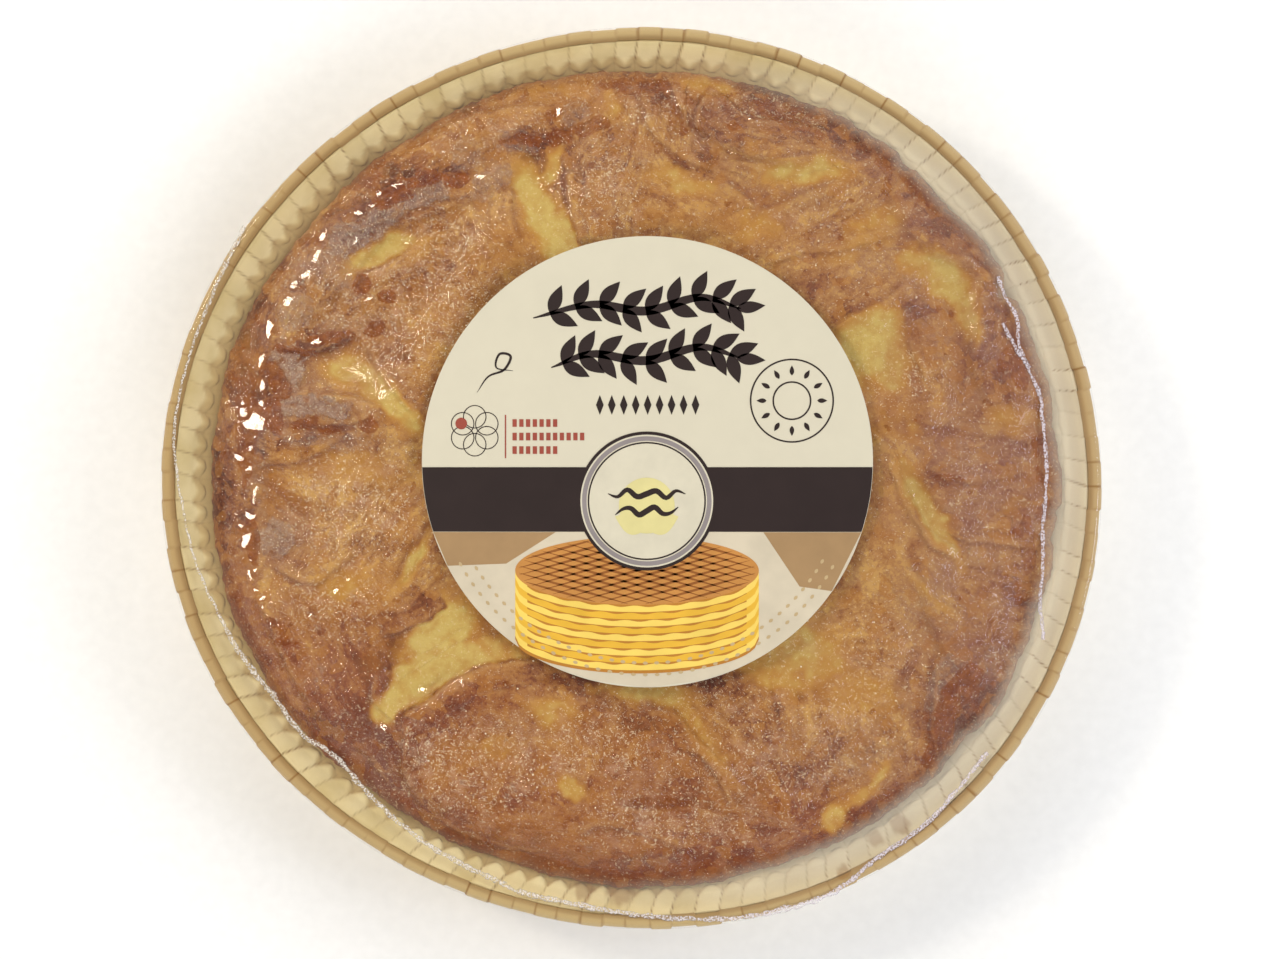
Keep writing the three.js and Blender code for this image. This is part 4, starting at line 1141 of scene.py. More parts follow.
def filmFields():
    direction = np.arctan2(gridY - middleY, gridX - middleX)
    radius = np.hypot(gridX - middleX, gridY - middleY)
    radius = radius - oval(direction) * np.minimum(1, radius / casing["rimRadius"])
    shoulder, edge = topping["shoulderRadius"], edgeOfCake(direction) + wrap["pastEdge"]
    outward = np.clip((radius - shoulder) / (edge - shoulder), 0, 1)
    crust = topping["edgeHeight"] + (topHeight - topping["edgeHeight"]) * (1 - outward**2.2) ** 0.37
    lift = wrap["cling"] + wrap["standOff"] * blurGrid(baking["haze"], 0.6)
    rest = blurGrid(crust, wrap["bridging"]) + wrap["slack"] + lift
    rest += 0.22 * lumpy(6, 111, 3) * smoothstep(0.1, 0.6, blurGrid(baking["haze"], 1.5))
    rest = np.maximum(rest, crust + wrap["cling"])
    rimTop = casing["rimHeight"] + wrap["rimClearance"]
    rise = np.clip(
        (radius - wrap["troughRadius"]) / (casing["rimRadius"] - 1.5 - wrap["troughRadius"]), -0.6, 1,
    )
    span = wrap["trough"] + (rimTop - wrap["trough"]) * np.where(rise > 0, rise**1.35, 0.45 * rise**2)
    span += 0.16 * lumpy(9, 112, 3) * (1 - np.clip(rise, 0, 1) ** 3)
    between = smoothstep(shoulder - 1, shoulder + 5, radius)
    height = np.where(between > 0, rest + between * np.maximum(0, span - rest), rest)
    fromLabel = np.hypot(gridX - labelPlace["x"], gridY - labelPlace["y"])
    away = smoothstep(labelPlace["radius"] - 1, labelPlace["radius"] + wrap["settle"], fromLabel)
    height = wrap["labelRest"] + (height - wrap["labelRest"]) * away
    height = np.minimum(height, topping["pressedHeight"] + 0.75)
    lampAt = studio["lampDistance"] * np.array(towardsLamp())
    smoothed = np.zeros_like(gridX)
    for facet in tautFacets:
        share = withinEllipse(facet, 0.5)
        smoothed = np.maximum(smoothed, 1 - smoothstep(1.2, 2.2, share))
        middle = np.array(
            [facet[0], facet[1], readGrid(height, np.array([facet[0]]), np.array([facet[1]]))[0]],
        )
        toLamp, toEye = lampAt - middle, np.array(studio["cameraAt"]) - middle
        facing = toLamp / np.linalg.norm(toLamp) + toEye / np.linalg.norm(toEye)
        plane = middle[2] - ((gridX - facet[0]) * facing[0] + (gridY - facet[1]) * facing[1]) / facing[2]
        plane += max(0.1, (crust - plane)[share < 1.1].max() + wrap["cling"])
        height += (1 - smoothstep(1.0, 1.7, share)) * (plane - height)
    onCake = 1 - smoothstep(shoulder, edge, radius)
    crinkle = 0.5 + 0.4 * baking["caramel"] + 0.35 * baking["sugar"] - 0.45 * baking["dough"]
    crinkle = crinkle * (1 - 0.93 * smoothed)
    # painted reflection: over the gap beside the cake the film is given a pale grey, more of it on the
    # right, where it also lies faintly over the collar
    gap = smoothstep(edge - 4, edge - 1, radius) * (1 - smoothstep(96, 100, radius))
    rightSide = smoothstep(-0.2, 0.7, np.cos(direction + math.radians(8)))
    marks = {
        "crinkle": crinkle * away * (1 - 0.75 * smoothstep(shoulder, edge + 4, radius)),
        "clear": baking["clear"], "clearStrength": baking["clearStrength"] * away * onCake,
        "fold": baking["fold"], "foldDark": baking["foldDark"] * away * onCake,
        "veilReflection": 0.05 * gap + rightSide * (
            0.15 * gap + 0.06 * smoothstep(92, 96, radius) * (1 - smoothstep(99, 101, radius))
        ),
    }
    return height, marks


filmTop, filmMarks = filmFields()


def makeFilm():
    # points stand closer together on the left, where the film is drawn into small facets
    angle = np.radians(np.concatenate([np.linspace(-120, 95, 361)[:-1], np.linspace(95, 240, 421)[:-1]]))
    rings = []
    rollRadius = casing["rollRadius"]
    rollMiddle = casing["rimRadius"] - rollRadius
    radii = [
        0.0, 15.0, 30.0, *np.arange(43, 70, 1.0), *np.arange(70, 90, 0.42), *np.arange(90, rollMiddle, 0.8)
    ]
    for radius in radii:
        x, y = onOval(angle, radius, casing["rimHeight"])
        rings.append(np.stack([x, y, readGrid(filmTop, x, y)], 1))
    reach = rollRadius + wrap["rimClearance"]
    for turn in np.radians([90, 72, 54, 36, 18, 0, -14]):
        height = casing["rimHeight"] - rollRadius + reach * math.sin(turn)
        rings.append(ringAt(angle, rollMiddle + reach * math.cos(turn), height))
    lowRadius = rollMiddle + reach * math.cos(math.radians(14))
    lowHeight = casing["rimHeight"] - rollRadius - reach * math.sin(math.radians(14))
    for share in np.linspace(0, 1, 19)[1:]:
        height = lowHeight + (wrap["footHeight"] - lowHeight) * share
        radius = lowRadius + (wrap["footRadius"] - lowRadius) * share
        wave = 0.35 * math.sin(math.pi * share) * roughNoise(
            100 * np.cos(angle), 100 * np.sin(angle) + 9 * share, 14, 113, 3,
        )
        rings.append(ringAt(angle, radius + wave, height))
    points, quads = skinOfRings(np.array(rings))
    piece = makeMesh("shrinkFilm", points, quads, [clearShrinkFilm()])
    over = len(radii) * len(angle)
    for name, field in filmMarks.items():
        values = np.full(len(points), 0.1 if name == "crinkle" else 0.0)
        values[:over] = readGrid(field, points[:over, 0], points[:over, 1])
        setField(piece, name, values)
    weldAndShade(piece)
    return piece


film = makeFilm()
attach(film, "root")
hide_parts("film")
print("film done:", len(film.data.polygons), "faces")


def startTree(name, sizes):
    # a tree that takes and gives a mesh, what adds a node to it, and a named input for each size
    tree = bpy.data.node_groups.new(name, "GeometryNodeTree")
    tree.interface.new_socket(name="Geometry", in_out="INPUT", socket_type="NodeSocketGeometry")
    tree.interface.new_socket(name="Geometry", in_out="OUTPUT", socket_type="NodeSocketGeometry")
    for label, size in sizes.items():
        kind = "NodeSocketInt" if isinstance(size, int) else "NodeSocketFloat"
        tree.interface.new_socket(name=label, in_out="INPUT", socket_type=kind).default_value = size
    add = partial(addNode, tree)
    return tree, add, add("GroupInput").outputs


def endTree(add, mesh, material):
    real = add("RealizeInstances", {"Geometry": mesh})
    done = add("SetMaterial", {"Geometry": real, "Material": material})
    add("GroupOutput", [done])


def growFrom(start, tree, sizes, name):
    # runs the tree on the starting object and keeps what it makes as a plain mesh
    modifier = start.modifiers.new(tree.name, "NODES")
    modifier.node_group = tree
    for item in tree.interface.items_tree:
        if item.item_type == "SOCKET" and item.in_out == "INPUT" and item.name in sizes:
            modifier[item.identifier] = sizes[item.name]
    ready = start.evaluated_get(bpy.context.evaluated_depsgraph_get())
    mesh = bpy.data.meshes.new_from_object(ready)
    start.modifiers.remove(modifier)
    bpy.data.objects.remove(start)
    mesh.name = name
    piece = bpy.data.objects.new(name, mesh)
    bpy.context.scene.collection.objects.link(piece)
    return piece


def pointsOf(piece):
    places = np.empty(3 * len(piece.data.vertices), np.float32)
    piece.data.vertices.foreach_get("co", places)
    return places.reshape(-1, 3) / mm


paperCase = {
    "Pleats": 120,
    "Points to a pleat": 14,
    "Crease width": 0.072,  # as a share of a pleat
    "Crease depth": 0.18 * mm,
    "Block rise": 0.25 * mm,
    "Unevenness": 0.4 * mm,
    "Jitter": 0.16,
    "Lobes": 0.7,
    "Lobes on the right": 0.15,
}


caseFootShade = {
    "height": 23.2,  # how high the painted shade reaches up the wall, and how much higher in places
    "onUpperLeft": 0.8,
    "atCreases": 0.9,
    "fade": 0.45,
    "strength": 0.8,
    "lessOnTheRight": 0.7,
    "onTheLeft": 0.14,
}


def caseSection():
    # from the middle of the floor, up the wall, over the roll and down the outside: how far in
    # from the outside of the rim, height, flute depth, share of flat collar, share of roll, and
    # how far round the creases have drifted, in pleats
    roll = casing["rollRadius"]
    top = casing["rimHeight"]
    rows = [(103.0, 0.8, 0, 0, 0, 0), (16.6, 0.8, 0, 0, 0, 0), (15.4, 0.9, 0.5, 0, 0, 0)]
    for share in np.linspace(0, 1, 6):
        rows.append((14.4 - 2.4 * share, 2.2 + 14.6 * share, 0.4 - 0.3 * share, 0, 0, 0))
    # a ledge under the foot of the collar, which overhangs it in a zigzag
    for inset, height in ((11.4, 19.0), (10.8, 20.6), (9.9, 22.0), (8.8, 22.7), (7.9, 23.0), (7.5, 23.1)):
        rows.append((inset, height, 0.1, 0.3, 0, 0))
    rows += [
        (7.4, 23.15, 0.6, 0.4, 0, 0.01), (7.3, 23.25, 0.9, 0.4, 0, 0.01), (7.2, 23.35, 0.95, 0.4, 0, 0.01),
        (7.05, 23.5, 0.9, 0.4, 0, 0.01), (6.75, 23.65, 0.7, 0.6, 0, 0.02), (6.4, 23.8, 0.4, 0.8, 0, 0.03),
        (6.05, 24.0, 0.1, 1, 0, 0.05),
    ]
    for share in np.linspace(0, 1, 6):
        rows.append((5.75 - 2.55 * share, 24.3 + 4.2 * share, 0, 1, 0, 0.08 + 0.16 * share))
    rows.append((2.95, 28.8, 0, 0.7, 0.25, 0.26))
    for turn in np.linspace(196, -90, 17):
        t = math.radians(turn)
        rows.append((roll - roll * math.cos(t), top - roll + roll * math.sin(t), 0, 0, 1, 0.26))
    rows.append((2.6, 27.1, 0, 0.4, 0.3, 0.26))
    for share in np.linspace(0, 1, 4):
        rows.append((3.0 + 3.2 * share, 26.4 - 5.4 * share, 1.0 * share**1.7, 0.6, 0, 0.2 * (1 - share)))
    rows += [(7.6, 20.9, 1.1, 0, 0, 0), (10.0, 18.6, 0.4, 0, 0, 0), (11.5, 16.6, 0.3, 0, 0, 0)]
    for share in np.linspace(0, 1, 5)[1:]:
        rows.append((11.5 + 2.1 * share, 16.6 - 15.2 * share, 0.4, 0, 0, 0))
    rows += [(14.3, 0.4, 0.7, 0, 0, 0), (15.0, 0, 0.3, 0, 0, 0), (103.0, 0, 0, 0, 0, 0)]
    return np.array(rows, float)


def pleatingTree(sizes):
    # sweeps the section round the oval, folding it at every pleat
    tree, add, sizes = startTree("pleatedCase", sizes)
    section = sizes["Geometry"]
    rows = add("AttributeDomainSize", {"Geometry": section}, component="MESH")
    columns = add("Math", [sizes["Pleats"], sizes["Points to a pleat"], 1.0], "MULTIPLY_ADD")
    grid = add("MeshGrid", {"Vertices X": columns, "Vertices Y": rows.outputs["Point Count"]})
    index = add("InputIndex")
    rowCount = rows.outputs["Point Count"]
    row = add("Math", [index, rowCount], "MODULO")
    column = add("Math", [index, rowCount], "DIVIDE")
    column = add("Math", [column], "FLOOR")
    spot = add(
        "SampleIndex", {"Geometry": section, "Value": add("InputPosition"), "Index": row},
        "FLOAT_VECTOR",
    )
    spot = add("SeparateXYZ", [spot])
    flute, flat, rolled, drift, underRoll = (
        add(
            "SampleIndex",
            {"Geometry": section, "Value": add("InputNamedAttribute", {"Name": name}), "Index": row},
            "FLOAT",
        )
        for name in ("flute", "flat", "rolled", "drift", "underRoll")
    )
    turn = add("Math", [column, sizes["Points to a pleat"]], "DIVIDE")
    angle = add("Math", [turn, sizes["Pleats"]], "DIVIDE")
    angle = add("Math", [angle, 2 * math.pi], "MULTIPLY")
    cosine = add("Math", [angle], "COSINE")
    sine = add("Math", [angle], "SINE")
    round1 = add("CombineXYZ", [cosine, sine])
    wobble = add("TexNoise", {"Vector": round1, "Scale": 16.0, "Detail": 1.0}, normalize=False)
    shift = add("Math", [wobble, sizes["Jitter"], drift], "MULTIPLY_ADD")
    phase = add("Math", [turn, shift], "ADD")
    whole = add("Math", [phase], "FLOOR")
    pleat = add("Math", [whole, sizes["Pleats"]], "FLOORED_MODULO")
    part = add("Math", [phase, whole], "SUBTRACT")
    chance = add("RandomValue", {"ID": pleat, "Seed": 7}, "FLOAT")
    centred = add("Math", [part, 0.5], "SUBTRACT")
    off = add("Math", [centred], "ABSOLUTE")
    # rounded lobes in the middle of the pleats and sharp notches at the creases
    wave = add("Math", [off, 2.0], "MULTIPLY")
    wave = add("Math", [wave, 1.3], "POWER")
    wave = add("Math", [wave, 2.0, -1.0], "MULTIPLY_ADD")
    lobes = add(
        "MapRange",
        {
            "Value": cosine, "From Min": 0.1, "From Max": 0.75, "To Min": sizes["Lobes"],
            "To Max": sizes["Lobes on the right"],
        },
    )
    fluting = add("Math", [wave, flute], "MULTIPLY")
    fluting = add("Math", [fluting, lobes], "MULTIPLY")
    toCrease = add("Math", [0.5, off], "SUBTRACT")
    groove = add(
        "MapRange",
        {
            "Value": toCrease, "From Min": 0.0, "From Max": sizes["Crease width"], "To Min": 1.0,
            "To Max": 0.0,
        },
        "SMOOTHSTEP",
    )
    strength = add("Math", [chance, 1.6], "POWER")
    strength = add("Math", [strength, 0.85, 0.15], "MULTIPLY_ADD")
    groove = add("Math", [groove, strength], "MULTIPLY")
    onFlat = add("Math", [groove, flat], "MULTIPLY")
    pillow = add("Math", [off, off], "MULTIPLY")
    pillow = add("Math", [pillow, -4.0, 1.0], "MULTIPLY_ADD")
    rise = add("Math", [pillow, sizes["Block rise"]], "MULTIPLY")
    jog = add("Math", [chance, -0.5], "ADD")
    rise = add("Math", [jog, sizes["Unevenness"], rise], "MULTIPLY_ADD")
    rise = add("Math", [rise, flat], "MULTIPLY")
    sunk = add("Math", [onFlat, sizes["Crease depth"]], "MULTIPLY")
    rise = add("Math", [rise, sunk], "SUBTRACT")
    rolledDip = add("Math", [groove, rolled], "MULTIPLY")
    rolledDip = add("Math", [rolledDip, 0.12 * mm], "MULTIPLY")

    # out from the axis: the section's radius, the flutes, and the oval
    out = add("Math", [spot.outputs["X"], fluting], "ADD")
    lowered = add("Math", [rise, -0.6, out], "MULTIPLY_ADD")
    lowered = add("Math", [lowered, rolledDip], "SUBTRACT")
    share = add("Math", [out, sizes["Rim radius"]], "DIVIDE", use_clamp=True)
    steps = add("Math", [jog, rolled], "MULTIPLY")
    reach = add("Math", [steps, 0.5 * mm, lowered], "MULTIPLY_ADD")
    for name, count in (("Squeeze", 2.0), ("Bulge", 3.0)):
        away = add("Math", [angle, sizes[name + " turn"]], "SUBTRACT")
        away = add("Math", [away, count], "MULTIPLY")
        swell = add("Math", [away], "COSINE")
        swell = add("Math", [swell, share], "MULTIPLY")
        reach = add("Math", [swell, sizes[name], reach], "MULTIPLY_ADD")
    low = add("Math", [spot.outputs["Z"], sizes["Lean top"]], "DIVIDE", use_clamp=True)
    low = add("Math", [1.0, low], "SUBTRACT")
    lean = add("Math", [low, sizes["Foot shift"], sizes["Middle X"]], "MULTIPLY_ADD")
    x = add("Math", [reach, cosine, lean], "MULTIPLY_ADD")
    y = add("Math", [reach, sine, sizes["Middle Y"]], "MULTIPLY_ADD")
    z = add("Math", [rise, 0.5, spot.outputs["Z"]], "MULTIPLY_ADD")
    place = add("CombineXYZ", [x, y, z])
    marked = grid.outputs["Mesh"]
    # painted shade in the creases of the collar and the roll, and in the groove under the roll
    onRoll = add("Math", [groove, rolled], "MULTIPLY")
    onRoll = add("Math", [onRoll, 1.5], "MULTIPLY", use_clamp=True)
    creaseShading = add("Math", [onFlat, onRoll], "MAXIMUM")
    creaseShading = add("Math", [creaseShading, underRoll], "MAXIMUM")
    for name, value in (("rolled", rolled), ("creased", creaseShading), ("segment", chance), ("fromPleat", off)):
        marked = add(
            "StoreNamedAttribute", {"Geometry": marked, "Name": name, "Value": value},
            "FLOAT", domain="POINT",
        )
    placed = add("SetPosition", {"Geometry": marked, "Position": place})
    closed = add("MergeByDistance", {"Geometry": placed, "Distance": 0.01 * mm})
    endTree(add, closed, greaseproofPaper())
    return tree


def makeCase():
    rows = caseSection()
    points = np.stack([casing["rimRadius"] - rows[:, 0], np.zeros(len(rows)), rows[:, 1]], 1)
    section = makeMesh("caseSection", points, [], [])
    # painted shade in a brown line along the inner side of the roll, in the groove where it meets the wall
    setField(section, "underRoll", 0.42 * np.exp(-((rows[:, 0] - 2.55) / 0.55) ** 2) * (rows[:, 1] > 28.3))
    for column, name in ((2, "flute"), (3, "flat"), (4, "rolled"), (5, "drift")):
        setField(section, name, rows[:, column] * (mm if name == "flute" else 1))
    sizes = paperCase | {
        "Rim radius": casing["rimRadius"] * mm, "Squeeze": casing["squeeze"] * mm,
        "Squeeze turn": math.radians(casing["squeezeTurn"]), "Bulge": casing["bulge"] * mm,
        "Bulge turn": math.radians(casing["bulgeTurn"]), "Foot shift": casing["footShift"] * mm,
        "Lean top": (casing["rimHeight"] - 2 * casing["rollRadius"]) * mm, "Middle X": float(middleX) * mm,
        "Middle Y": float(middleY) * mm,
    }
    piece = growFrom(section, pleatingTree(sizes), sizes, "pleatedCase")
    points = pointsOf(piece)
    oil = np.zeros(len(points))
    for x, y, size in ((61, -78, 2.2), (55.5, -81, 1.8), (-2, -93, 3.5), (-10, -93, 2.5), (48, -88, 1.6)):
        spot = np.hypot(points[:, 0] - x, points[:, 1] - y) / size
        spot = spot + 0.3 * noise(points[:, 0], points[:, 1], 1.5, 121)  # oil spots with uneven edges
        oil = np.maximum(oil, 0.55 * (1 - smoothstep(0.6, 1.2, spot)))
    heading = np.arctan2(points[:, 1], points[:, 0]) + math.radians(8)
    rolled = np.zeros(len(points))
    piece.data.attributes["rolled"].data.foreach_get("value", rolled)
    setField(piece, "oiled", np.maximum(oil, 0.24 * rolled * smoothstep(0.2, 0.8, np.abs(np.cos(heading)))))
    fromPleat = np.zeros(len(points))
    piece.data.attributes["fromPleat"].data.foreach_get("value", fromPleat)
    # painted shade at the foot of the collar, which reaches further up at each crease
    upperLeft = smoothstep(-0.2, 0.6, np.cos(heading - math.radians(150)))
    footShadeBand = caseFootShade
    upTo = footShadeBand["height"] + footShadeBand["onUpperLeft"] * upperLeft
    upTo = upTo + footShadeBand["atCreases"] * (2 * fromPleat) ** 1.4
    upTo = upTo + 0.2 * noise(points[:, 0], points[:, 1], 2.5, 122)
    footShade = 1 - smoothstep(upTo - footShadeBand["fade"], upTo + footShadeBand["fade"], points[:, 2])
    onRight = smoothstep(0.0, 0.7, np.cos(heading))
    footShade = footShade * (footShadeBand["strength"] - footShadeBand["lessOnTheRight"] * onRight)
    onLeft = footShadeBand["onTheLeft"] * smoothstep(0.45, 0.9, -np.cos(heading))
    setField(piece, "footShade", np.maximum(footShade, onLeft))
    # painted paler, cooler light on the right side of the paper, less of it on the roll
    setField(piece, "lightOnTheRight", (0.7 - 0.62 * rolled) * smoothstep(0.1, 0.85, np.cos(heading)))
    work = bmesh.new()
    work.from_mesh(piece.data)
    bmesh.ops.recalc_face_normals(work, faces=work.faces)
    work.to_mesh(piece.data)
    work.free()
    piece.data.shade_smooth()
    return piece


case = makeCase()
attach(case, "root")
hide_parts("paper_case")
print("paper case done:", len(case.data.polygons), "faces")


# The label: a paper disc, and its print as thin layers of ink over it
labelPrint = {
    "paper": "#d1c9b2", "band": "#2f2422", "ornament": "#2f2422", "greyRing": "#8d8482",
    "leafGreen": "#d6cb8d", "redBrown": "#9a4a3c", "wood": "#a3835c", "cloth": "#cec1a8", "dash": "#bfa67c",
    "goldLayer": "#dfae3a", "paleLayer": "#eccb62", "toastedLayer": "#b57a30", "crustTop": "#c08544",
    "scoring": "#8f5728",
}
inkStep = 0.025
labelHeight = 33.06
labelPaperThickness = 0.2


def circle(x, y, radius, count=96, start=0.0, end=360.0):
    angle = np.radians(np.linspace(start, end, count))
    return [(x + radius * math.cos(t), y + radius * math.sin(t)) for t in angle]


def strokeOutline(points, width, taper=True):
    # a brush line along the points, as left and right edges
    points = np.array(points, float)
    way = np.gradient(points, axis=0)
    way /= np.maximum(np.hypot(way[:, 0], way[:, 1]), 1e-6)[:, None]
    across = np.stack([-way[:, 1], way[:, 0]], 1)
    share = np.linspace(0, 1, len(points))
    swell = np.sin(np.pi * share) ** 0.6 if taper else np.ones(len(points))
    half = (width / 2 * np.maximum(swell, 0.12))[:, None]
    return points + across * half, points - across * half


class InkSheet:
    # gathers flat shapes of each ink, one thin layer over another
    def __init__(self):
        self.points, self.faces, self.inks = [], [], []

    def fill(self, outline, layer, ink):
        start = len(self.points)
        z = labelHeight + labelPaperThickness + inkStep * layer
        self.points += [(x, y, z) for x, y in outline]
        self.faces.append(list(range(start, start + len(outline))))
        self.inks.append(ink)

    def strip(self, left, right, layer, ink):
        for a, b, c, d in zip(left, left[1:], right[1:], right):
            self.fill([tuple(p) for p in (d, c, b, a)], layer, ink)

    def ring(self, x, y, outer, inner, layer, ink, start=0.0, end=360.0):
        self.strip(circle(x, y, inner, 73, start, end), circle(x, y, outer, 73, start, end), layer, ink)

    def line(self, points, width, layer, ink, taper=True):
        left, right = strokeOutline(curveThrough(points), width, taper)
        self.strip(left, right, layer, ink)

    def leaf(self, x, y, length, width, turn, layer, ink):
        c, s = cosineAndSine(turn)
        share = np.linspace(0, 1, 13)
        half = width / 2 * np.sin(np.pi * share**0.8)
        left = [(x + length * t * c - h * s, y + length * t * s + h * c) for t, h in zip(share, half)]
        right = [(x + length * t * c + h * s, y + length * t * s - h * c) for t, h in zip(share, half)]
        self.strip(left, right, layer, ink)


def labelDesign():
    sheet = InkSheet()
    cx, cy = labelPlace["x"], labelPlace["y"]
    reach = labelPlace["radius"] - 0.1
    bandTop, bandFoot = 2.4, -11.9

    def chord(y):
        return math.sqrt(max(reach**2 - (y - cy) ** 2, 0))

    def slab(low, high, layer, ink):
        left, right = ([(cx + side * chord(y), y) for y in np.linspace(low, high, 24)] for side in (-1, 1))
        sheet.strip(left, right, layer, ink)

    slab(cy - reach + 0.01, bandFoot, 1, "cloth")
    slab(bandFoot, bandTop, 3, "band")
    # brown corners under the band, left and right
    sheet.fill([(cx - chord(-12), -12), (-16, -12), (-27, -19), (cx - chord(-19.5), -19.5)], 1.5, "wood")
    sheet.fill([(30, -12), (cx + chord(-12), -12), (cx + chord(-25), -25), (38, -24)], 1.5, "wood")
    # a round cake of thin layers, with a scored brown top
    ox, oy, wide, deep, tall = 2.0, -20.5, 27.0, 7.6, 14.5
    span = np.linspace(-wide, wide, 61)
    bow = deep * np.sqrt(1 - (span / wide) ** 2)
    count = 9
    for k in range(count):
        upper, lower = (
            [(ox + x, oy - b - tall * n / count) for x, b in zip(span, bow)] for n in (k, k + 1)
        )
        sheet.strip(upper, lower, 2 + 0.05 * k, "goldLayer" if k % 2 else "paleLayer")
        inner = upper[3:-3]
        under = [(x, y - 0.34 + 0.2 * math.sin(x + k)) for x, y in inner]
        sheet.strip(inner, under, 2.6, "toastedLayer")
    sheet.strip(lower, [(x, y - 0.7) for x, y in lower], 2.6, "toastedLayer")
    sheet.fill(
        [(ox + wide * math.cos(t), oy + deep * math.sin(t)) for t in np.linspace(0, 2 * np.pi, 97)[:-1]],
        2.7, "crustTop",
    )
    for lean in (-1, 1):
        for k in range(-6, 7):
            # a chord of the ellipse, drawn as the top is scored
            t = np.linspace(-1, 1, 9)
            half = math.sqrt(max(0, 1 - (k / 6.6) ** 2))
            u, v = k / 6.6, t * half
            x = ox + wide * (u * 0.71 + lean * v * 0.71) * 0.97
            y = oy + deep * (-lean * u * 0.71 + v * 0.71) * 0.97
            sheet.line(list(zip(x, y)), 0.55, 2.75, "scoring")
    # rows of small dashes on the cloth
    for k in range(46):
        t = math.radians(196 + 3.2 * k)
        for radius in (47.2, 44.6):
            x, y = cx + radius * math.cos(t), cy + radius * math.sin(t)
            if y < -18:
                dash = [(x - s * math.sin(t), y + s * math.cos(t)) for s in (-0.55, 0.0, 0.55)]
                sheet.line(dash, 0.7, 3, "dash")
    # medallion with a leaf
    mx, my = 4.2, -5.1
    sheet.fill(circle(mx, my, 15.4, 97)[:-1], 4, "band")
    sheet.fill(circle(mx, my, 14.7, 97)[:-1], 5, "paper")
    sheet.ring(mx, my, 14.35, 13.35, 6, "greyRing")
    sheet.ring(mx, my, 13.1, 12.75, 6, "band")
    for turn, length in ((90, 10), (55, 9), (125, 9), (20, 7.5), (160, 7.5)):
        sheet.leaf(mx, my - 6, length, 5.2, turn, 6, "leafGreen")
    sheet.fill(circle(mx, my - 1, 6.2, 49)[:-1], 6.5, "leafGreen")
    for lift, half in ((1.6, 8.6), (-2.2, 7.0)):
        span = np.linspace(-half, half, 9)
        waves = [(mx + s, my + lift + 0.9 * math.sin(1.1 * s)) for s in span]
        sheet.line(waves, 1.3, 7, "band")
    # two sprigs, one above the other
    for side, height, tilt in ((-1, 38.5, 6), (1, 27.5, -4)):
        stem = [
            (-19 + 2 * side, height - 3), (-8, height), (4, height - 1.5), (16, height + 1.5),
            (25, height - 1),
        ]
        sheet.line(stem, 2.0, 2, "ornament")
        route = curveThrough(stem, 30)
        for k in range(2, len(route) - 1, 3):
            x, y = route[k]
            ahead = route[k + 1] - route[k - 1]
            turn = math.degrees(math.atan2(ahead[1], ahead[0]))
            for spread in (46, -46):
                sheet.leaf(x, y, 6.8, 3.0, turn + spread + tilt, 2, "ornament")
        sheet.leaf(route[-1][0] - 1, route[-1][1], 6.5, 2.6, tilt, 2, "ornament")
    # a row of diamonds beneath
    for k in range(9):
        x = -6.2 + 2.65 * k
        sheet.fill([(x - 0.85, 16.2), (x, 14.0), (x + 0.85, 16.2), (x, 18.4)], 2, "ornament")
    # ring stamp
    sx, sy = 36.3, 17.1
    for outer in (9.3, 4.3):
        sheet.ring(sx, sy, outer, outer - 0.35, 2, "ornament")
    for turn in range(0, 360, 30):
        c, s = cosineAndSine(turn)
        sheet.leaf(sx + 5.6 * c, sy + 5.6 * s, 2.2, 1.0, turn, 2, "ornament")
    # small flower outline with a red dot, a rule and three red bars at the left
    fx, fy = -34.0, 10.5
    for turn in range(30, 390, 60):
        c, s = cosineAndSine(turn)
        sheet.ring(fx + 3.1 * c, fy + 3.1 * s, 2.6, 2.4, 2, "ornament")
    sheet.fill(circle(fx - 3.0, fy + 1.6, 1.3, 25)[:-1], 2.5, "redBrown")
    boxes = [(-27.3, 4.4, -27.0, 14.0)]
    for k, count in enumerate((7, 11, 7)):
        y = 12.2 - 3.0 * k
        boxes += [(-25.6 + 1.5 * j, y - 0.85, -24.65 + 1.5 * j, y + 0.85) for j in range(count)]
    for left, low, right, high in boxes:
        sheet.fill([(left, low), (right, low), (right, high), (left, high)], 2, "redBrown")
    # a loose curl above them
    curl = [(-33.5, 19), (-31, 22.5), (-27.5, 24), (-26, 27), (-28.5, 27.5), (-29.2, 24.5), (-25.5, 23.8)]
    sheet.line(curl, 0.55, 2, "ornament")
    return sheet


def makeLabel():
    cx, cy, reach = labelPlace["x"], labelPlace["y"], labelPlace["radius"]
    angle = np.linspace(0, 2 * np.pi, 241)[:-1]
    rings = []
    for radius, height in ((0, 1), (20, 1), (40, 1), (49.9, 1), (50, 0.6), (49.9, 0), (20, 0), (0, 0)):
        radius = radius * reach / 50
        x, y = cx + radius * np.cos(angle), cy + radius * np.sin(angle)
        rings.append(np.stack([x, y, np.full_like(x, labelHeight + labelPaperThickness * height)], 1))
    points, quads = skinOfRings(np.array(rings))
    disc = makeMesh(
        "labelPaper", points, quads, [printedPaper("creamLabelPaper", labelPrint["paper"], 0.02)],
    )
    weldAndShade(disc)
    disc.data.polygons.foreach_set("use_smooth", np.zeros(len(disc.data.polygons), bool))
    sheet = labelDesign()
    inks = sorted(set(sheet.inks))
    materials = [printedPaper("ink_" + ink, labelPrint[ink], 0.07) for ink in inks]
    ink = makeMesh("labelInk", sheet.points, sheet.faces, materials, smooth=False)
    ink.data.polygons.foreach_set("material_index", np.array([inks.index(i) for i in sheet.inks], np.int32))
    return disc, ink


for piece in makeLabel():
    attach(piece, "root")
    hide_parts("label")
print("label done")


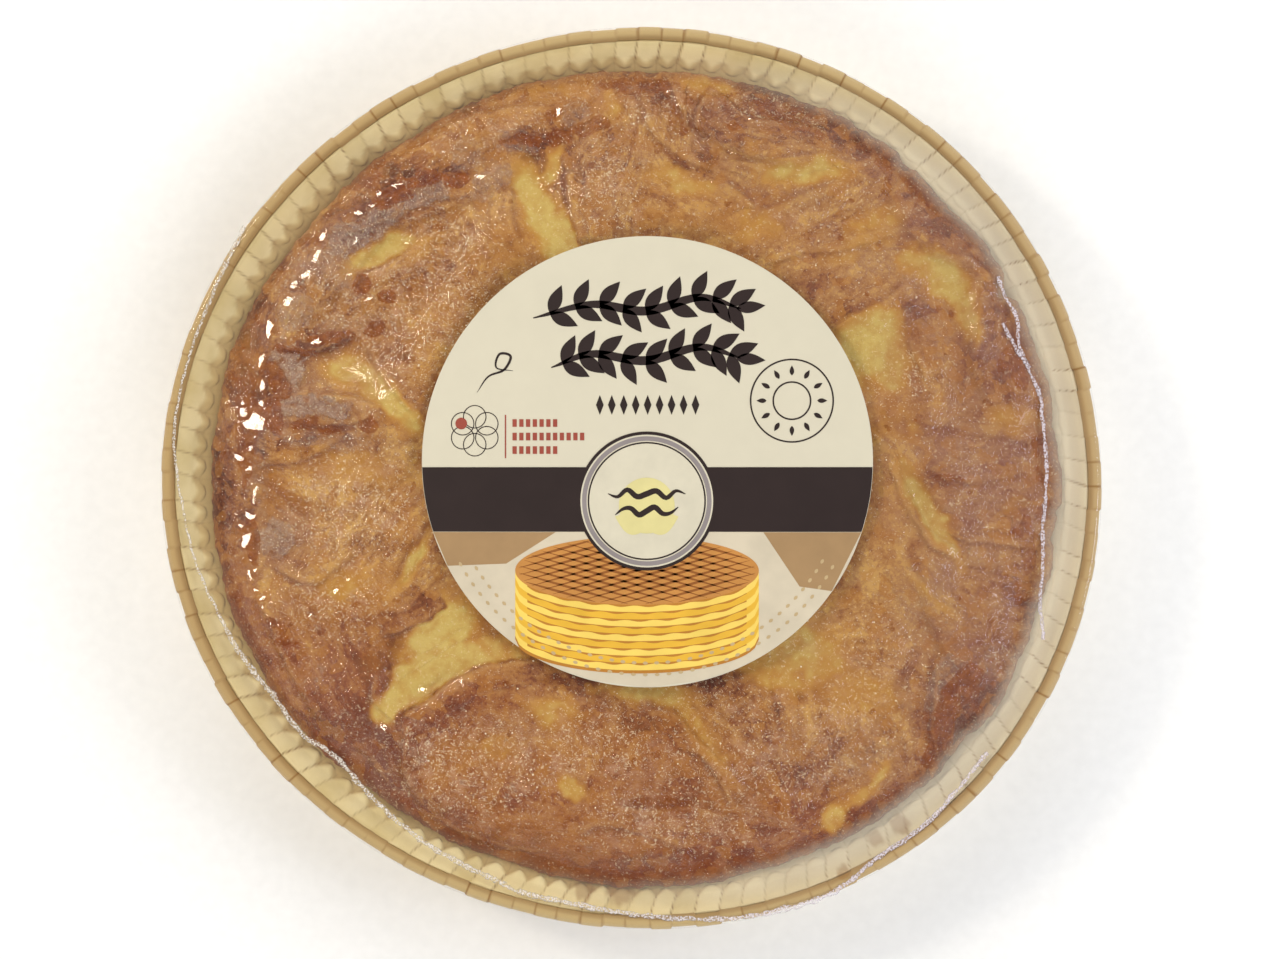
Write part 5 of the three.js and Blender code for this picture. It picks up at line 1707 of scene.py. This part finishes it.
seamPaths = [
    [(-86, 56.5), (-93, 42), (-99, 26), (-102, 11), (-101.3, -0.4), (-99, -13.2), (-96.2, -22.1),
     (-93.4, -28.3), (-90.1, -35), (-86.7, -40.6), (-83.4, -45.1), (-80, -49), (-73.9, -57.3),
     (-66.3, -62.5), (-59.4, -70.1), (-55.3, -74.1), (-50.6, -78.2), (-41.3, -84.6), (-30, -90),
     (-21, -93.5), (2, -97.5), (24, -98), (44, -93), (55, -85), (65, -78), (72, -71), (80, -61)],
    [(92.4, -36), (91.8, -27), (92.4, -20), (92.6, -10), (93.4, 0), (93.2, 5), (92.6, 12), (91.6, 19),
     (89.4, 24), (87, 31), (87, 35), (84.4, 40), (82.6, 45)],
    [(89.6, 24.5), (87, 28), (85.2, 31.5), (83.4, 34.5)],
]
seam = {"Width": 1.3 * mm, "Thickness": 0.1 * mm, "Seed": 3.0}
seamRoute = {"spacing": 0.4, "wander": 0.35, "lift": 0.14}
seamColours = {"clear": "#b8aa98", "bubbles": "#efe7dc", "onRight": "#e0d6dc"}


def seamTree():
    # a flat bead of melted film along each line, of uneven width
    tree, add, sizes = startTree("filmSeam", seam)
    path = add("MeshToCurve", {"Mesh": sizes["Geometry"]})
    place = add("InputPosition")
    lumps = add(
        "TexNoise", {"Vector": place, "W": sizes["Seed"], "Scale": 420.0, "Detail": 4.0, "Roughness": 0.7},
        noise_dimensions="4D",
    )
    swell = add(
        "MapRange", {"Value": lumps, "From Min": 0.36, "From Max": 0.66, "To Min": 0.45, "To Max": 1.35},
    )
    share = add("InputNamedAttribute", {"Name": "widthShare"})
    swell = add("Math", [swell, share], "MULTIPLY")
    sized = add("SetCurveRadius", {"Curve": path, "Radius": swell})
    section = add("CurvePrimitiveCircle", {"Resolution": 6, "Radius": 0.5})
    across = add("CombineXYZ", [sizes["Width"], sizes["Thickness"], 1.0])
    section = add("Transform", {"Geometry": section, "Scale": across})
    bead = add(
        "CurveToMesh",
        {"Curve": sized, "Profile Curve": section, "Scale": swell, "Fill Caps": True},
    )
    endTree(add, bead, weldedFilm())
    return tree


def makeSeam():
    points, edges = [], []
    for path in seamPaths:
        length = sum(math.dist(a, b) for a, b in zip(path, path[1:]))
        route = curveThrough(path, int(length / seamRoute["spacing"]))
        x, y = route[:, 0].copy(), route[:, 1].copy()
        x += seamRoute["wander"] * roughNoise(route[:, 0], route[:, 1], 3, 131, 3)
        y += seamRoute["wander"] * roughNoise(route[:, 0], route[:, 1], 3, 132, 3)
        z = readGrid(filmTop, x, y) + seamRoute["lift"]
        first = len(points)
        points += list(np.stack([x, y, z], 1))
        edges += [(k, k + 1) for k in range(first, len(points) - 1)]
    mesh = bpy.data.meshes.new("seamPath")
    mesh.from_pydata((np.array(points) * mm).tolist(), edges, [])
    start = bpy.data.objects.new("seamPath", mesh)
    points = np.array(points)
    widthShare = 0.5 + 0.5 * smoothstep(-97, -88, points[:, 0]) - 0.3 * smoothstep(40, 84, points[:, 0])
    setField(start, "widthShare", widthShare)
    bpy.context.scene.collection.objects.link(start)
    return growFrom(start, seamTree(), seam, "filmSeam")


weld = makeSeam()
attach(weld, "root")
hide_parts("film")
print("seam done:", len(weld.data.polygons), "faces")


sugar = {"Grains to a square metre": 160000.0, "Smallest": 0.08 * mm, "Largest": 0.24 * mm, "Seed": 11}
sugarColours = {"shaded": "#d9b27a", "lit": "#fbf0d2"}


def sugarTree():
    # grains of sugar scattered where the crust is dry, each turned and sized at random
    tree, add, sizes = startTree("scatteredSugar", sugar)
    share = add("InputNamedAttribute", {"Name": "sugar"})
    density = add("Math", [share, sizes["Grains to a square metre"]], "MULTIPLY")
    points = add(
        "DistributePointsOnFaces",
        {"Mesh": sizes["Geometry"], "Density": density, "Seed": sizes["Seed"]},
    )
    grain = add("MeshIcoSphere", {"Radius": 1.0, "Subdivisions": 1})
    turn = add("RandomValue", {"Max": (6.28, 6.28, 6.28), "Seed": 5}, "FLOAT_VECTOR")
    size = add("RandomValue", {2: sizes["Smallest"], 3: sizes["Largest"], "Seed": 8}, "FLOAT")
    grains = add(
        "InstanceOnPoints",
        {"Points": points.outputs["Points"], "Instance": grain, "Rotation": turn, "Scale": size},
    )
    endTree(add, grains, sugarCrystal())
    return tree


def makeSugar():
    # grows on a copy of the visible top, outside the label
    axis = np.arange(-88, 88.1, 2.0)
    x, y = np.meshgrid(axis, axis)
    z = readGrid(topHeight, x, y) + 0.03
    points = np.stack([x, y, z], 2).reshape(-1, 3)
    count = len(axis)
    corner = (np.arange(count - 1)[:, None] * count + np.arange(count - 1)[None, :]).ravel()
    quads = np.stack([corner, corner + 1, corner + 1 + count, corner + count], 1)
    middle = points[quads].mean(1)
    fromLabel = np.hypot(middle[:, 0] - labelPlace["x"], middle[:, 1] - labelPlace["y"])
    fromMiddle = np.hypot(middle[:, 0] - middleX, middle[:, 1] - middleY)
    shown = (fromLabel > labelPlace["radius"] - 1) & (fromMiddle < topping["shoulderRadius"] - 1)
    ground = makeMesh("sugarGround", points, quads[shown], [])
    setField(ground, "sugar", readGrid(baking["sugar"], points[:, 0], points[:, 1]) ** 1.5)
    return growFrom(ground, sugarTree(), sugar, "sugarGrains")


grains = makeSugar()
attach(grains, "root")
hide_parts("cake")
print("sugar done:", len(grains.data.polygons), "faces")


def floorPaper():
    # matt white paper sweep
    material, add, place = newMaterial("whitePaperSweep")
    tooth = add("TexNoise", {"Vector": place, "Scale": 1 / (3 * mm), "Detail": 3.0})
    dull, bright = (toLinear(colour) for colour in studio["floor"])
    colour = add("ValToRGB", {"Fac": tooth}, stops=[(0.2, dull), (0.8, bright)])
    shader = add("BsdfPrincipled", {"Base Color": colour, "Roughness": 0.9})
    add("OutputMaterial", {"Surface": shader})
    return material


def makeStudio():
    scene = bpy.context.scene
    corners = [(-2500, -2500, 0), (2500, -2500, 0), (2500, 2500, 0), (-2500, 2500, 0)]
    floor = makeMesh("floor", corners, [(0, 1, 2, 3)], [floorPaper()], smooth=False)
    at, aim = Vector(studio["cameraAt"]) * mm, Vector(studio["aim"]) * mm
    lens = bpy.data.cameras.new("camera")
    lens.lens = studio["lens"]
    lens.sensor_width = 36
    camera = bpy.data.objects.new("camera", lens)
    back = (at - aim).normalized()
    right = Vector((0, 1, 0)).cross(back).normalized()
    camera.matrix_world = Matrix((right, back.cross(right), back)).transposed().to_4x4()
    camera.location = at
    scene.collection.objects.link(camera)
    scene.camera = camera
    away = Vector(towardsLamp())
    lamps = [
        ("lamp", away * studio["lampDistance"], studio["lampSize"], studio["lampPower"], "#fff3dc"),
        ("window", Vector((760, -90, 640)), 240, 1.2, "#dfe8ff"),
        ("softLeft", Vector((-900, 500, 800)), 800, 3.4, "#fff8ee"),
        ("softRight", Vector((1000, 250, 800)), 800, 4.5, "#fbfcff"),
        ("softFront", Vector((150, -1000, 850)), 800, 5.5, "#ffffff"),
        ("softBack", Vector((-100, 1050, 800)), 800, 4.0, "#ffffff"),
    ]
    for name, place, size, power, colour in lamps:
        light = bpy.data.lights.new(name, "AREA")
        light.shape = "DISK"
        light.size = size * mm
        light.energy = power
        light.color = toLinear(colour)[:3]
        lamp = bpy.data.objects.new(name, light)
        lamp.location = place * mm
        lamp.visible_glossy = not name.startswith("soft")  # broad light without its own reflection
        lamp.rotation_euler = (-place).to_track_quat("-Z", "Y").to_euler()
        scene.collection.objects.link(lamp)
    world = bpy.data.worlds.new("paleRoom")
    world.use_nodes = True
    scene.world = world
    world.node_tree.nodes.clear()
    add = partial(addNode, world.node_tree)
    way = add("TexCoord").outputs["Generated"]
    up = add("SeparateXYZ", [way]).outputs["Z"]
    level = add("MapRange", {"Value": up, "From Min": 0.5, "From Max": 0.86, "To Min": 0.8, "To Max": 0.16})
    soft = add("Background", {"Color": (0.97, 0.985, 1.0, 1), "Strength": level})
    add("OutputWorld", {"Surface": soft})
    scene.view_settings.view_transform = "Standard"


makeStudio()
print("studio done")
